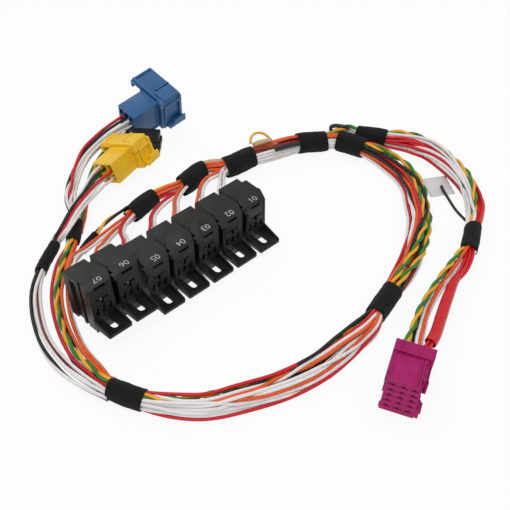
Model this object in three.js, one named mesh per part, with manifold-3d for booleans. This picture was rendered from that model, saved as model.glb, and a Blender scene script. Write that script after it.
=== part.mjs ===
// Wiring harness: seven relay sockets in a row, four plug connectors, taped wire bundles, sleeves and a label.
// Millimetres, +Z up. The origin is the middle of the underside of the first relay socket's housing. The row of
// sockets runs towards -X, and the wires leave the sockets towards +Y.
import * as THREE from "three";
import { mergeVertices } from "three/addons/utils/BufferGeometryUtils.js";
import Module from "manifold-3d";

const wasm = await Module();
wasm.setup();

// Fits
const pieceGap = 0.4;
const cutMargin = 60;

// Relay socket, measured from the front left corner of its foot
const socketCount = 7;
const socketPitch = 30;
const footWidth = 25.7;
const footThickness = 2.6;
const footCornerRadius = 2.5;
const footDrop = 6;
const slotWidth = 6.5;
const slotFrontEdge = 6.3;
const slotRearGap = 0.3;
const faceSetback = 21.5;
const gussetThickness = 1.6;
const gussetHeight = 9.5;
const bodyDepth = 41.1;
const bodyHeight = 42;
const bodyLeft = 1.35;
const bodyRearRight = 25.6;
const rearNotchDepth = 7.6;
const chamferWidth = 2.9;
const chamferLength = 6.3;
const railLength = 3.2;
const railDepth = 0.9;
const railSetback = 13.5;
const sideRecessDepth = 2.4;
const sideRecessLength = 10.5;
const sideRecessStart = 21;
const sideRecessTop = 38;
const ledgeWidth = 3.6;
const ledgeHeight = 4.4;
const windowWidth = 11.6;
const windowHeight = 3.2;
const windowLeft = 7;
const cavityDepth = 7;
const crossSlotWidth = 12.6;
const crossSlotHeight = 2;
const crossSlotZ = 27;
const crossStemWidth = 3.4;
const crossStemDrop = 5.4;
const bladeSlotWidth = 2.6;
const bladeSlotHeight = 7.4;
const bladeSlotStep = 7;
const bladeSlotZ = 15.4;
const chamberColumns = 3;
const chamberRows = 2;
const chamberWidth = 3.4;
const chamberHeight = 9;
const chamberDepth = 6;
const chamberStepX = 6.4;
const chamberStepZ = 13;
const wireEntryZ = 18;

// The two raised sockets at the far end of the row
const raisedCount = 2;
const raisedTilt = -7.6;
const raisedLift = 9.6;
const raisedBack = 1.6;
const raisedAside = -0.9;

// Fifteen way plug, its own frame starts under the middle of the mating face, +X towards the mating side
const plug15Length = 47;
const plug15Width = 29.3;
const plug15Height = 36;
const plug15Columns = 3;
const plug15Rows = 5;
const plug15ColumnStep = 9.3;
const plug15RowStep = 6.3;
const plug15CollarLength = 12.8;
const plug15CollarWall = 1.3;
const plug15CollarSide = 3.9;
const plug15PanelDepth = 1.1;
const plug15RibWidth = 1.6;
const plug15RearGap = 1;
const keyBarWidth = 7;
const keyBarHeight = 1.3;
const keyRoundRadius = 1.45;
const keyDepth = 6;
const latchArmLength = 20;
const latchArmHeight = 9;
const latchArmThickness = 1.6;
const latchArmStandoff = 2.2;

// Flanged plug family: the larger blue one and the smaller yellow one
const bluePlug = { length: 34.4, width: 26.5, height: 36.5, headLength: 28, near: 5.2, far: 13, top: 1.5, bottom: 2 };
const yellowPlug = { length: 32.4, width: 27.6, height: 23.3, headLength: 24, near: 5.5, far: 8.5, top: 1.7, bottom: 2.3 };
const plugShellWall = 2;
const plugCavityDepth = 9;
const plugPanelInset = 3.2;
const plugPanelDepth = 1;
const slidePlateThickness = 2.4;
const slidePlateRib = 1.6;
const plugCornerRadius = 1.5;
const terminalSlotWidth = 6.2;
const terminalSlotHeight = 1.8;

// Black plug with a ribbed nose
const blackPlugLength = 27;
const blackPlugWidth = 16;
const blackPlugHeight = 24;
const blackNoseLength = 8;
const blackNoseRibs = 3;

// Where the plugs lie: the point under the mating side of the shell, and the turns in degrees
const plug15Place = { x: -63.4, y: -220.4, z: 8.5, yaw: 210, pitch: 5.6, roll: -5.8 };
const bluePlace = { x: 45.8, y: 240.2, z: 7.6, yaw: 0, pitch: 7, roll: 9.8 };
const yellowPlace = { x: -27.6, y: 187.3, z: 11, yaw: 16, pitch: 0.7, roll: -20.3 };
const blackPlace = { x: 17.5, y: 200.5, z: 0.5, yaw: -47, pitch: 0, roll: 0 };

// Bundles, tape and sleeves
const tubeSides = 8;
const tapeSides = 12;
const tapeWall = 1;
const sleeveWall = 0.9;
const sleeveClearance = 0.5;
const dropRadius = 3.2;
const leadRadius = 1.6;
const labelWidth = 14;
const labelLength = 30;
const labelThickness = 0.5;

const plastic = (colour, roughness) => new THREE.MeshStandardMaterial({ color: colour, roughness, metalness: 0 });
const blackPlastic = plastic(0x1c1c1c, 0.55);
const magentaPlastic = plastic(0xa3205f, 0.4);
const bluePlastic = plastic(0x24548c, 0.45);
const yellowPlastic = plastic(0xf2bd1f, 0.4);
const tapeCloth = plastic(0x171717, 0.9);
const sleeveRubber = plastic(0x1f2022, 0.5);
const redSleeve = plastic(0xc8262c, 0.35);
const clearSleeve = plastic(0xc8a27a, 0.4);
const labelPaper = plastic(0xd9d6d8, 0.6);
const whiteWire = plastic(0xdedad6, 0.45);
const redWire = plastic(0xb7141c, 0.4);
const orangeWire = plastic(0xe0501e, 0.4);
const yellowWire = plastic(0xe0a018, 0.4);
const blackWire = plastic(0x1d1d1d, 0.45);

const harness = new THREE.Group();

// Solids

function solid(geometry) {
  const bare = geometry.index ? geometry.toNonIndexed() : geometry.clone();
  bare.deleteAttribute("normal");
  bare.deleteAttribute("uv");
  const merged = mergeVertices(bare, 1e-4);
  return new wasm.Manifold(
    new wasm.Mesh({
      numProp: 3,
      vertProperties: new Float32Array(merged.attributes.position.array),
      triVerts: new Uint32Array(merged.index.array),
    }),
  );
}

function geometryOf(body) {
  const mesh = body.getMesh();
  const geometry = new THREE.BufferGeometry();
  geometry.setAttribute("position", new THREE.BufferAttribute(new Float32Array(mesh.vertProperties), 3));
  geometry.setIndex(new THREE.BufferAttribute(new Uint32Array(mesh.triVerts), 1));
  geometry.computeVertexNormals();
  return geometry;
}

function outline(points) {
  return new THREE.Shape(points.map(([u, v]) => new THREE.Vector2(u, v)));
}

function extruded(shape, depth, basis) {
  const options = { depth, bevelEnabled: false, curveSegments: 6 };
  return solid(new THREE.ExtrudeGeometry(shape, options).applyMatrix4(basis));
}

function asShape(profile) {
  return Array.isArray(profile) ? outline(profile) : profile;
}

function prismZ(profile, low, high) {
  return extruded(asShape(profile), high - low, new THREE.Matrix4().makeTranslation(0, 0, low));
}

function prismX(profile, low, high) {
  const axes = new THREE.Matrix4().makeBasis(
    new THREE.Vector3(0, 1, 0),
    new THREE.Vector3(0, 0, 1),
    new THREE.Vector3(1, 0, 0),
  );
  return extruded(asShape(profile), high - low, axes.setPosition(low, 0, 0));
}

function prismY(profile, low, high) {
  const axes = new THREE.Matrix4().makeBasis(
    new THREE.Vector3(1, 0, 0),
    new THREE.Vector3(0, 0, 1),
    new THREE.Vector3(0, -1, 0),
  );
  return extruded(asShape(profile), high - low, axes.setPosition(0, high, 0));
}

function block(lowX, highX, lowY, highY, lowZ, highZ) {
  const box = new THREE.BoxGeometry(highX - lowX, highY - lowY, highZ - lowZ);
  return solid(box.translate((lowX + highX) / 2, (lowY + highY) / 2, (lowZ + highZ) / 2));
}

function roundedRectangle(width, height, radius) {
  const shape = new THREE.Shape();
  const w = width / 2;
  const h = height / 2;
  shape.moveTo(-w + radius, -h);
  shape.lineTo(w - radius, -h);
  shape.absarc(w - radius, -h + radius, radius, -Math.PI / 2, 0);
  shape.lineTo(w, h - radius);
  shape.absarc(w - radius, h - radius, radius, 0, Math.PI / 2);
  shape.lineTo(-w + radius, h);
  shape.absarc(-w + radius, h - radius, radius, Math.PI / 2, Math.PI);
  shape.lineTo(-w, -h + radius);
  shape.absarc(-w + radius, -h + radius, radius, Math.PI, 1.5 * Math.PI);
  return shape;
}

function addPiece(parent, name, geometry, material) {
  const mesh = new THREE.Mesh(geometry, material);
  mesh.name = name;
  parent.add(mesh);
  return mesh;
}

// Relay socket

const faceY = faceSetback;
const rearY = faceSetback + bodyDepth;
const bodyRight = socketPitch + bodyLeft - pieceGap - 0.3;
const socketBase = -footDrop;

function socketBody() {
  const plan = [
    [bodyLeft, rearY],
    [bodyLeft, faceY + 2.5],
    [0.6, faceY],
    [footWidth - 0.5, faceY],
    [footWidth - 0.5 + chamferWidth, faceY + chamferLength],
    [bodyRight, faceY + 2 * chamferLength - 1],
    [bodyRight, rearY - rearNotchDepth],
    [bodyRearRight, rearY - rearNotchDepth],
    [bodyRearRight, rearY],
  ];
  return prismZ(plan, socketBase, bodyHeight);
}

function socketFoot() {
  const r = footCornerRadius;
  const plate = new THREE.Shape();
  plate.moveTo(0.8, 0);
  plate.lineTo(footWidth - r, 0);
  plate.absarc(footWidth - r, r, r, -Math.PI / 2, 0);
  plate.lineTo(footWidth, faceY + 1);
  plate.lineTo(0, faceY + 1);
  plate.lineTo(0, 0.8);
  const side = [
    [faceY + 1, footThickness / 2],
    [faceY + 1, gussetHeight],
    [faceY, gussetHeight],
    [1.5, footThickness + 0.6],
    [1.5, footThickness / 2],
  ];
  const left = prismX(side, 0, gussetThickness);
  const right = prismX(side, footWidth - gussetThickness, footWidth);
  return prismZ(plate, 0, footThickness).add(left).add(right);
}

function mountingSlot() {
  const r = slotWidth / 2;
  const x = footWidth / 2;
  const shape = new THREE.Shape();
  shape.moveTo(x + r, faceY - slotRearGap);
  shape.lineTo(x - r, faceY - slotRearGap);
  shape.lineTo(x - r, slotFrontEdge + r);
  shape.absarc(x, slotFrontEdge + r, r, Math.PI, 2 * Math.PI);
  return prismZ(shape, -1, gussetHeight + footThickness);
}

function terminalCavities() {
  const depthY = faceY + cavityDepth;
  const x = footWidth / 2;
  const top = bodyHeight - 0.6;
  const window = block(windowLeft, windowLeft + windowWidth, faceY - 1, depthY, top - windowHeight, top);
  const bar = block(
    x - crossSlotWidth / 2, x + crossSlotWidth / 2, faceY - 1, depthY, crossSlotZ - crossSlotHeight / 2,
    crossSlotZ + crossSlotHeight / 2,
  );
  const stem = block(
    x - crossStemWidth / 2, x + crossStemWidth / 2, faceY - 1, depthY, crossSlotZ - crossStemDrop, crossSlotZ,
  );
  let cut = window.add(bar).add(stem);
  for (const side of [-1, 0, 1]) {
    const middle = x + side * bladeSlotStep;
    const low = bladeSlotZ - bladeSlotHeight / 2;
    const blade = block(
      middle - bladeSlotWidth / 2, middle + bladeSlotWidth / 2, faceY - 1, depthY, low, low + bladeSlotHeight,
    );
    const ear = block(middle - bladeSlotWidth, middle, faceY - 1, depthY, low + 1, low + bladeSlotHeight / 2);
    cut = cut.add(blade).add(ear);
  }
  return cut;
}

function socketSolid() {
  const railY = faceY + railSetback;
  const rail = block(bodyRight - 1, bodyRight + railDepth, railY, railY + railLength, socketBase + 4, bodyHeight);
  const railSeat = block(
    0, bodyLeft + railDepth + pieceGap, railY - pieceGap, railY + railLength + pieceGap, -cutMargin, cutMargin,
  );
  const recessY = faceY + sideRecessStart;
  const sideRecess = block(0, bodyLeft + sideRecessDepth, recessY, recessY + sideRecessLength, -cutMargin, sideRecessTop);
  const ledge = block(
    bodyLeft - ledgeWidth, windowLeft - 1.8, faceY - 1.2, faceY + 4.6, bodyHeight - ledgeHeight, bodyHeight,
  );
  let rearChambers = null;
  for (let column = 0; column < chamberColumns; column += 1) {
    for (let row = 0; row < chamberRows; row += 1) {
      const x = footWidth / 2 + (column - (chamberColumns - 1) / 2) * chamberStepX;
      const z = wireEntryZ + (row - (chamberRows - 1) / 2) * chamberStepZ;
      const chamber = block(
        x - chamberWidth / 2, x + chamberWidth / 2, rearY - chamberDepth, rearY + 1, z - chamberHeight / 2,
        z + chamberHeight / 2,
      );
      rearChambers = rearChambers ? rearChambers.add(chamber) : chamber;
    }
  }
  return socketBody()
    .add(socketFoot())
    .add(rail)
    .add(ledge)
    .subtract(mountingSlot())
    .subtract(terminalCavities())
    .subtract(railSeat)
    .subtract(sideRecess)
    .subtract(rearChambers);
}

const socketGeometry = geometryOf(socketSolid());
const frontOfFoot = -slotFrontEdge / 2;
const wireSeat = new THREE.Vector3(footWidth / 2, rearY + pieceGap, wireEntryZ);

function socketPlace(index) {
  return new THREE.Vector3(-index * socketPitch - footWidth / 2, frontOfFoot, footDrop);
}

const raisedGroup = new THREE.Group();
const firstRaised = socketCount - raisedCount;
raisedGroup.position.set(
  -(firstRaised + 0.5) * socketPitch + raisedAside,
  rearY / 2 + raisedBack,
  footDrop + bodyHeight / 2 + raisedLift,
);
const raisedPivot = new THREE.Vector3(
  -(firstRaised + 0.5) * socketPitch,
  rearY / 2,
  footDrop + bodyHeight / 2,
);
raisedGroup.rotation.x = THREE.MathUtils.degToRad(raisedTilt);
harness.add(raisedGroup);

const socketSeats = [];
for (let index = 0; index < socketCount; index += 1) {
  const raised = index >= firstRaised;
  const parent = raised ? raisedGroup : harness;
  const socket = addPiece(parent, `relay_socket_${index + 1}`, socketGeometry, blackPlastic);
  socket.position.copy(socketPlace(index));
  if (raised) socket.position.sub(raisedPivot);
  socket.updateWorldMatrix(true, false);
  socketSeats.push(wireSeat.clone().applyMatrix4(socket.matrixWorld));
}

// Fifteen way plug

function plugGroup(place) {
  const group = new THREE.Group();
  group.position.set(place.x, place.y, place.z);
  const turn = THREE.MathUtils.degToRad;
  group.rotation.set(turn(place.roll), turn(-place.pitch), turn(place.yaw), "ZYX");
  harness.add(group);
  return group;
}

function keyhole(y, z) {
  const bar = block(-keyDepth, 1, y - keyBarWidth / 2, y + keyBarWidth / 2, z - keyBarHeight / 2, z + keyBarHeight / 2);
  const round = new THREE.CylinderGeometry(keyRoundRadius, keyRoundRadius, keyDepth + 1, 8);
  round.rotateZ(Math.PI / 2);
  round.translate((1 - keyDepth) / 2, y, z + keyBarHeight / 2);
  return bar.add(solid(round));
}

function plug15Housing() {
  const halfWidth = plug15Width / 2;
  const collarFront = plug15CollarLength - plug15Length;
  let body = block(-plug15Length, 0, -halfWidth, halfWidth, 0, plug15Height);
  const panelRight = halfWidth - 6;
  const panel = block(
    collarFront, -4, -halfWidth + 1.5, panelRight, plug15Height - plug15PanelDepth, plug15Height + 1,
  );
  const channel = block(
    collarFront, -1.5, panelRight + plug15RibWidth, panelRight + plug15RibWidth + 1,
    plug15Height - plug15PanelDepth, plug15Height + 1,
  );
  const sideStep = block(collarFront + 4, 1, halfWidth - 2, halfWidth + 1, plug15Height - 5, plug15Height + 1);
  body = body.subtract(panel).subtract(channel).subtract(sideStep);
  for (let column = 0; column < plug15Columns; column += 1) {
    for (let row = 0; row < plug15Rows; row += 1) {
      const y = (column - (plug15Columns - 1) / 2) * plug15ColumnStep;
      const z = plug15Height / 2 + (row - (plug15Rows - 1) / 2) * plug15RowStep;
      body = body.subtract(keyhole(y, z));
    }
  }
  const armFront = collarFront + latchArmLength;
  const armTop = plug15Height - 9;
  const armOut = halfWidth + latchArmStandoff + latchArmThickness;
  const arm = block(
    collarFront + pieceGap, armFront, armOut - latchArmThickness, armOut, armTop - latchArmHeight, armTop,
  );
  const armRoot = block(
    collarFront + pieceGap, collarFront + 4, halfWidth - 1, armOut, armTop - latchArmHeight, armTop,
  );
  const armWindow = block(
    armFront - 9, armFront - 4, armOut - latchArmThickness - 1, armOut + 1, armTop - latchArmHeight + 3, armTop - 3,
  );
  const lowerKey = block(-14, 0, halfWidth - 1, halfWidth + 3, 1.5, 9);
  const keyRib = block(-12, -1, halfWidth + 2, halfWidth + 5, 4, 7);
  return body.add(arm).add(armRoot).subtract(armWindow).add(lowerKey).subtract(keyRib);
}

function plug15Collar() {
  const collarFront = plug15CollarLength - plug15Length;
  const inner = plug15Width / 2 + pieceGap;
  const outer = inner + plug15CollarWall;
  const shell = block(
    -plug15Length - plug15RearGap, collarFront, -outer, inner + plug15CollarSide, -pieceGap - plug15CollarWall,
    plug15Height + pieceGap + plug15CollarWall,
  );
  const bore = block(-plug15Length - 2, collarFront + 1, -inner, inner, -pieceGap, plug15Height + pieceGap);
  const tongueSlot = block(
    -plug15Length - 2, -plug15Length + 8, -outer + 5, -outer + 7.5, plug15Height + pieceGap + 0.6,
    plug15Height + 2 * plug15CollarWall + 1,
  );
  const sideRelief = block(
    collarFront - 4, collarFront + 1, inner + plug15CollarSide - 1.4, inner + plug15CollarSide + 1, -cutMargin, cutMargin,
  );
  return shell.subtract(bore).subtract(tongueSlot).subtract(sideRelief);
}

const plug15 = plugGroup(plug15Place);
addPiece(plug15, "plug_15way_housing", geometryOf(plug15Housing()), magentaPlastic);
addPiece(plug15, "plug_15way_collar", geometryOf(plug15Collar()), magentaPlastic);

// Flanged plugs

function flangedHousing(size) {
  const near = -size.width / 2;
  const far = size.width / 2;
  const shoulder = prismX(
    [
      [near, 0],
      [far, 0],
      [far, size.height],
      [near, size.height],
    ],
    -size.length,
    1,
  );
  const headLow = -size.bottom;
  const headHigh = size.height - pieceGap;
  const headProfile = roundedRectangle(size.width + 2 * size.near, headHigh - headLow, plugCornerRadius);
  const head = prismX(headProfile, 0, size.headLength).translate([0, 0, (headHigh + headLow) / 2]);
  let body = shoulder.add(head);
  const wall = plugShellWall;
  const step = (size.width - wall) / 3;
  const levels = size.height > 30 ? 3 : 2;
  const rise = (size.height - wall) / levels;
  for (let column = 0; column < 3; column += 1) {
    for (let level = 0; level < levels; level += 1) {
      const y = near + wall + column * step;
      const z = wall + level * rise;
      const cavity = block(
        -size.length - 1, -size.length + plugCavityDepth, y, y + step - wall, z, z + rise - wall,
      );
      body = body.subtract(cavity);
    }
  }
  for (let column = 0; column < 3; column += 1) {
    for (let level = 0; level < levels; level += 1) {
      const y = near + wall + (column + 0.5) * step - wall / 2;
      const z = wall + (level + 0.5) * rise - wall / 2;
      const slot = block(
        size.headLength - keyDepth, size.headLength + 1, y - terminalSlotWidth / 2, y + terminalSlotWidth / 2,
        z - terminalSlotHeight / 2, z + terminalSlotHeight / 2,
      );
      body = body.subtract(slot);
    }
  }
  const panel = block(
    plugPanelInset, size.headLength - plugPanelInset, near - size.near - 1, near - size.near + plugPanelDepth,
    plugPanelInset, size.height - 2 * plugPanelInset,
  );
  const foot = block(
    plugPanelInset, size.headLength + 2, near - size.near + 0.5, near - size.near + 5, headLow - 1.5, headLow + 3,
  );
  const notch = block(8, 14, near - size.near - 1, near - size.near + 2.5, headLow - 3, headLow + 2.2);
  return body.subtract(panel).add(foot).subtract(notch);
}

function slidePlate(size) {
  const low = size.height;
  const near = -size.width / 2 - size.near;
  const far = size.width / 2 + size.near + size.far;
  const farLip = size.width / 2 + size.near + pieceGap;
  const plate = prismZ(
    [
      [pieceGap, near],
      [size.headLength - 3, near],
      [size.headLength - 1, near + 2],
      [size.headLength - 1, far],
      [-2, far],
      [-2, size.width / 2 + pieceGap],
      [pieceGap, size.width / 2 + pieceGap],
    ],
    low,
    low + slidePlateThickness,
  );
  const rib = block(0, 2 * slidePlateRib, near + 4, far, low + 1, low + slidePlateThickness + slidePlateRib);
  const hook = block(-2, size.headLength - 1, far - 3, far, low - 6, low + 1);
  const stop = block(4, size.headLength - 4, farLip, farLip + 2, low - 4, low + 1);
  return plate.add(rib).add(hook).add(stop);
}

const blueGroup = plugGroup(bluePlace);
addPiece(blueGroup, "plug_blue_housing", geometryOf(flangedHousing(bluePlug)), bluePlastic);
addPiece(blueGroup, "plug_blue_slide", geometryOf(slidePlate(bluePlug)), bluePlastic);
const yellowGroup = plugGroup(yellowPlace);
addPiece(yellowGroup, "plug_yellow_housing", geometryOf(flangedHousing(yellowPlug)), yellowPlastic);
addPiece(yellowGroup, "plug_yellow_slide", geometryOf(slidePlate(yellowPlug)), yellowPlastic);

function blackHousing() {
  const half = blackPlugWidth / 2;
  const profile = roundedRectangle(blackPlugWidth, blackPlugHeight, plugCornerRadius);
  let body = prismX(profile, -blackPlugLength, 1).translate([0, 0, blackPlugHeight / 2]);
  const ribStep = blackPlugHeight / blackNoseRibs;
  for (let rib = 0; rib < blackNoseRibs; rib += 1) {
    const low = rib * ribStep + 0.8;
    const nose = prismX(
      [
        [-half + 0.6, low],
        [half - 0.6, low],
        [half - 0.6, low + ribStep - 1.6],
        [-half + 0.6, low + ribStep - 1.6],
      ],
      0,
      blackNoseLength - (rib === 1 ? 0 : 1.5),
    );
    body = body.add(nose);
  }
  return body;
}

const blackGroup = plugGroup(blackPlace);
addPiece(blackGroup, "plug_black_housing", geometryOf(blackHousing()), blackPlastic);

// Bundles, tape wraps and sleeves

function section(radius, sides) {
  const shape = new THREE.Shape();
  for (let side = 0; side < sides; side += 1) {
    const angle = ((side + 0.5) * 2 * Math.PI) / sides;
    const u = radius * Math.cos(angle);
    const v = radius * Math.sin(angle);
    if (side) shape.lineTo(u, v);
    else shape.moveTo(u, v);
  }
  shape.closePath();
  return shape;
}

function routeThrough(points) {
  const knots = points.map((p) => (p.isVector3 ? p : new THREE.Vector3(...p)));
  return new THREE.CatmullRomCurve3(knots, false, "centripetal");
}

// Part of a route between two of its points, given by their places in the list, with a gap left at each end
class Stretch extends THREE.Curve {
  constructor(route, from, to, gap) {
    super();
    const last = route.points.length - 1;
    this.route = route;
    this.start = this.shifted(from / last, gap);
    this.end = this.shifted(to / last, -gap);
  }

  shifted(place, distance) {
    if (!distance) return place;
    const step = Math.sign(distance) * 1e-3;
    const speed = this.route.getPoint(place).distanceTo(this.route.getPoint(place + step)) / 1e-3;
    return place + distance / speed;
  }

  getPoint(t, target = new THREE.Vector3()) {
    return this.route.getPoint(this.start + (this.end - this.start) * t, target);
  }
}

function swept(name, shape, path, steps, material) {
  const geometry = new THREE.ExtrudeGeometry(shape, { steps, bevelEnabled: false, extrudePath: path });
  return addPiece(harness, name, geometry, material);
}

function wires(name, route, from, to, radius, steps, material) {
  return swept(name, section(radius, tubeSides), new Stretch(route, from, to, pieceGap / 2), steps, material);
}

function tape(name, route, from, to, radius) {
  const path = new Stretch(route, from, to, pieceGap / 2);
  return swept(name, section(radius + tapeWall, tapeSides), path, 4, tapeCloth);
}

function hollowSleeve(name, route, from, to, radius, steps, material) {
  const ring = section(radius + sleeveClearance + sleeveWall, tapeSides);
  ring.holes.push(section(radius + sleeveClearance, tapeSides));
  return swept(name, ring, new Stretch(route, from, to, 0), steps, material);
}

const mainRadius = 8.8;
const forkTapeRadius = 9.8;
const mainRoute = routeThrough([
  [-222, -40, 10.2], [-209, -70, 10.2], [-180, -106, 10], [-148, -123, 10], [-110, -138, 10], [-74, -144, 10],
  [-45, -143, 10], [-12, -141, 10], [4, -136, 10.2], [41, -125, 10.2], [79, -113, 10], [113, -93, 10],
  [135, -77, 10], [150, -61, 10], [168, -40, 10], [179, -16, 10], [182, 14, 10.4], [177.8, 36.4, 11.2],
  [167.8, 66.5, 11.2],
]);
tape("tape_g", mainRoute, 0, 1, mainRadius);
wires("bundle_main_front", mainRoute, 1, 8, mainRadius, 26, redWire);
tape("tape_h", mainRoute, 8, 9, mainRadius);
wires("bundle_main_right", mainRoute, 9, 17, mainRadius, 20, blackWire);
tape("tape_j", mainRoute, 17, 18, forkTapeRadius);

const rightRadius = 7.4;
const forkRadius = 5;
const rightRoute = routeThrough([
  [163.6, 80.6, 10.5], [173, 79, 10.3], [182, 76.5, 10.4], [188.5, 69.5, 11.2], [190.6, 58.7, 12], [207.8, 32.6, 12],
  [221, 13, 10.6], [227, -8, 10], [224, -37, 9], [211, -74, 9], [193, -100, 9], [166, -121, 9], [136, -139, 9],
]);
wires("bundle_fork", rightRoute, 0, 4, forkRadius, 8, whiteWire);
tape("tape_k", rightRoute, 4, 5, rightRadius);
wires("bundle_right", rightRoute, 5, 11, rightRadius, 18, whiteWire);
tape("tape_l", rightRoute, 11, 12, rightRadius);

const plugLeadRoute = routeThrough([
  [134, -139.4, 9], [109, -143, 11], [76, -147, 13], [38, -160, 15], [8, -178, 18], [-21.6, -196, 21],
]);
const redFeedRadius = 3.8;
const redFeedRoute = routeThrough([
  [132, -151, 10], [112, -155, 12], [90, -158, 14], [66, -169, 15], [40, -182, 18], [16, -194, 21],
  [-6.6, -200.3, 20.4], [-15.3, -205.3, 21.3],
]);
wires("bundle_plug_lead", plugLeadRoute, 0, 5, 4.6, 14, orangeWire);
wires("bundle_red_feed", redFeedRoute, 0, 7, redFeedRadius, 14, redWire);
hollowSleeve("sleeve_red", redFeedRoute, 2, 5, redFeedRadius, 8, redSleeve);

const busRightRadius = 9.6;
const busMiddleRadius = 9;
const busLeftRadius = 7.2;
const busRoute = routeThrough([
  [158, 75, 11], [130, 93, 11], [106, 101, 12], [80, 109, 12], [44, 114, 12], [26, 126, 11.5], [-9, 123, 11],
  [-23, 128, 10], [-37, 131, 9], [-73, 125, 9],
]);
tape("tape_i", busRoute, 0, 1, busRightRadius);
wires("bundle_bus_right", busRoute, 1, 3, busRightRadius, 6, orangeWire);
tape("tape_a", busRoute, 3, 4, busRightRadius);
wires("bundle_bus_middle", busRoute, 4, 5, busMiddleRadius, 3, whiteWire);
tape("tape_b", busRoute, 5, 6, busMiddleRadius);
wires("bundle_bus_left", busRoute, 6, 8, busLeftRadius, 4, orangeWire);
tape("tape_c", busRoute, 8, 9, busLeftRadius);

const outerRadius = 4.8;
const outerRoute = routeThrough([
  [-153, 143, 6.5], [-185, 120, 6.5], [-206, 96, 6], [-229, 50, 6], [-236, 13, 6], [-235, -15, 7], [-227.7, -41.9, 8],
]);
tape("tape_e", outerRoute, 0, 1, outerRadius);
wires("bundle_outer", outerRoute, 1, 6, outerRadius, 18, whiteWire);

const innerRadius = 5.8;
const innerRoute = routeThrough([
  [-119, 153, 8], [-139, 133, 8], [-168, 106, 8], [-190, 80, 7], [-206, 49, 7], [-217, 16, 7], [-220, -12, 8],
  [-219.5, -29.5, 8.6], [-216.6, -36.6, 9],
]);
tape("tape_f", innerRoute, 0, 1, innerRadius);
wires("bundle_inner", innerRoute, 1, 8, innerRadius, 18, orangeWire);

const yellowLeadRoute = routeThrough([
  [-150, 145.5, 8.5], [-144.5, 143.5, 14], [-137, 143.5, 18.4], [-126, 147.5, 20], [-108, 158, 20], [-90, 168, 20],
  [-71, 178.8, 20.8], [-60.2, 182.2, 21.4],
]);
const blueLeadRoute = routeThrough([
  [-120.4, 155.1, 8.2], [-114, 163, 8.2], [-104, 185, 8], [-88, 203, 8], [-52, 230, 10], [-22, 237, 14],
  [9, 236.8, 19.2],
]);
const blackLeadRoute = routeThrough([
  [-115.6, 150.3, 6.6], [-109, 156.9, 6], [-94, 174, 5], [-72, 196, 5], [-48, 215, 7], [-14, 227, 10.5],
  [-1.8, 221.2, 12.5],
]);
wires("bundle_yellow_plug", yellowLeadRoute, 0, 7, 4.2, 12, blackWire);
wires("bundle_blue_plug", blueLeadRoute, 0, 6, 4.2, 14, whiteWire);
wires("bundle_black_plug", blackLeadRoute, 0, 6, 3, 14, orangeWire);

const pairRadius = 3;
const pairRoute = routeThrough([[-74.6, 136.4, 7], [-96, 133, 8], [-116, 126, 8], [-138, 117, 7], [-147.8, 112.9, 6.6]]);
wires("bundle_pair", pairRoute, 0, 4, pairRadius, 8, yellowWire);
hollowSleeve("sleeve_pair", pairRoute, 2, 3, pairRadius, 3, sleeveRubber);

const clearRoute = routeThrough([[83, 112, 23.6], [93, 109, 24], [103, 105.5, 23.6]]);
const loopRoute = routeThrough([
  [82.5, 115.8, 23.6], [87, 119.5, 27.5], [94.5, 120, 29], [101, 115.6, 27.5], [104.2, 109.2, 23.6],
]);
const darkRoute = routeThrough([[98, 93.6, 19.6], [112, 89.4, 19.6], [125, 84, 19.2]]);
const spliceRoute = routeThrough([
  [168.5, 79, 18], [171.5, 81.8, 19], [177.5, 80.5, 18.6], [182.5, 75, 18.2], [186, 68.5, 18.4],
]);
wires("sleeve_clear", clearRoute, 0, 2, 2.6, 3, clearSleeve);
wires("wire_loop", loopRoute, 0, 4, 1.4, 10, yellowWire);
wires("sleeve_dark", darkRoute, 0, 2, 2.6, 3, sleeveRubber);
wires("sleeve_splice", spliceRoute, 0, 4, 2.2, 8, sleeveRubber);

// Wires that drop from the bus into the backs of the sockets: the chosen start and bends of each
const dropStarts = [
  [[43, 99.6, 11], [30, 97, 12], [21, 84, 16]],
  [[21, 111.4, 10], [7, 106, 11], [-6, 90, 15]],
  [[-8, 109.8, 9], [-24, 107, 11], [-38, 90, 15]],
  [[-26, 115.8, 8], [-52, 108, 10], [-68, 90, 15]],
  [[-62, 112.6, 7], [-84, 110, 9], [-100, 90, 15]],
  [[-79, 118, 5], [-100, 112, 9], [-126, 92, 18]],
  [[-78.5, 126, 5], [-104, 119, 9], [-142, 101, 18]],
];
dropStarts.forEach((bends, index) => {
  const seat = socketSeats[index];
  const approach = [seat.x + 0.6, seat.y + 9, seat.z];
  const route = routeThrough([...bends, approach, seat]);
  wires(`drop_${index + 1}`, route, 0, 4, dropRadius, 10, index % 2 ? orangeWire : whiteWire);
});

// Label flag on its thin lead
const labelGroup = new THREE.Group();
labelGroup.position.set(200, -52, 2.4);
labelGroup.rotation.z = THREE.MathUtils.degToRad(59);
harness.add(labelGroup);
addPiece(
  labelGroup,
  "label_flag",
  geometryOf(
    block(
      -labelLength / 2, labelLength / 2, leadRadius + pieceGap, leadRadius + pieceGap + labelWidth, -labelThickness / 2,
      labelThickness / 2,
    ),
  ),
  labelPaper,
);
const leadRoute = routeThrough([[208, -38, 2.4], [200, -52, 2.4], [190, -69, 2.6], [178, -90, 4.5], [169.6, -108.4, 7.7]]);
wires("label_lead", leadRoute, 0, 4, leadRadius, 8, blackWire);

// The harness moves so that the middle of the first housing's underside is the origin
harness.position.y = -(frontOfFoot + faceSetback + bodyDepth / 2);

export default harness;
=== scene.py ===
import math
from functools import partial

import bmesh
import bpy
import numpy as np
from mathutils import Matrix, Vector


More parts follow.
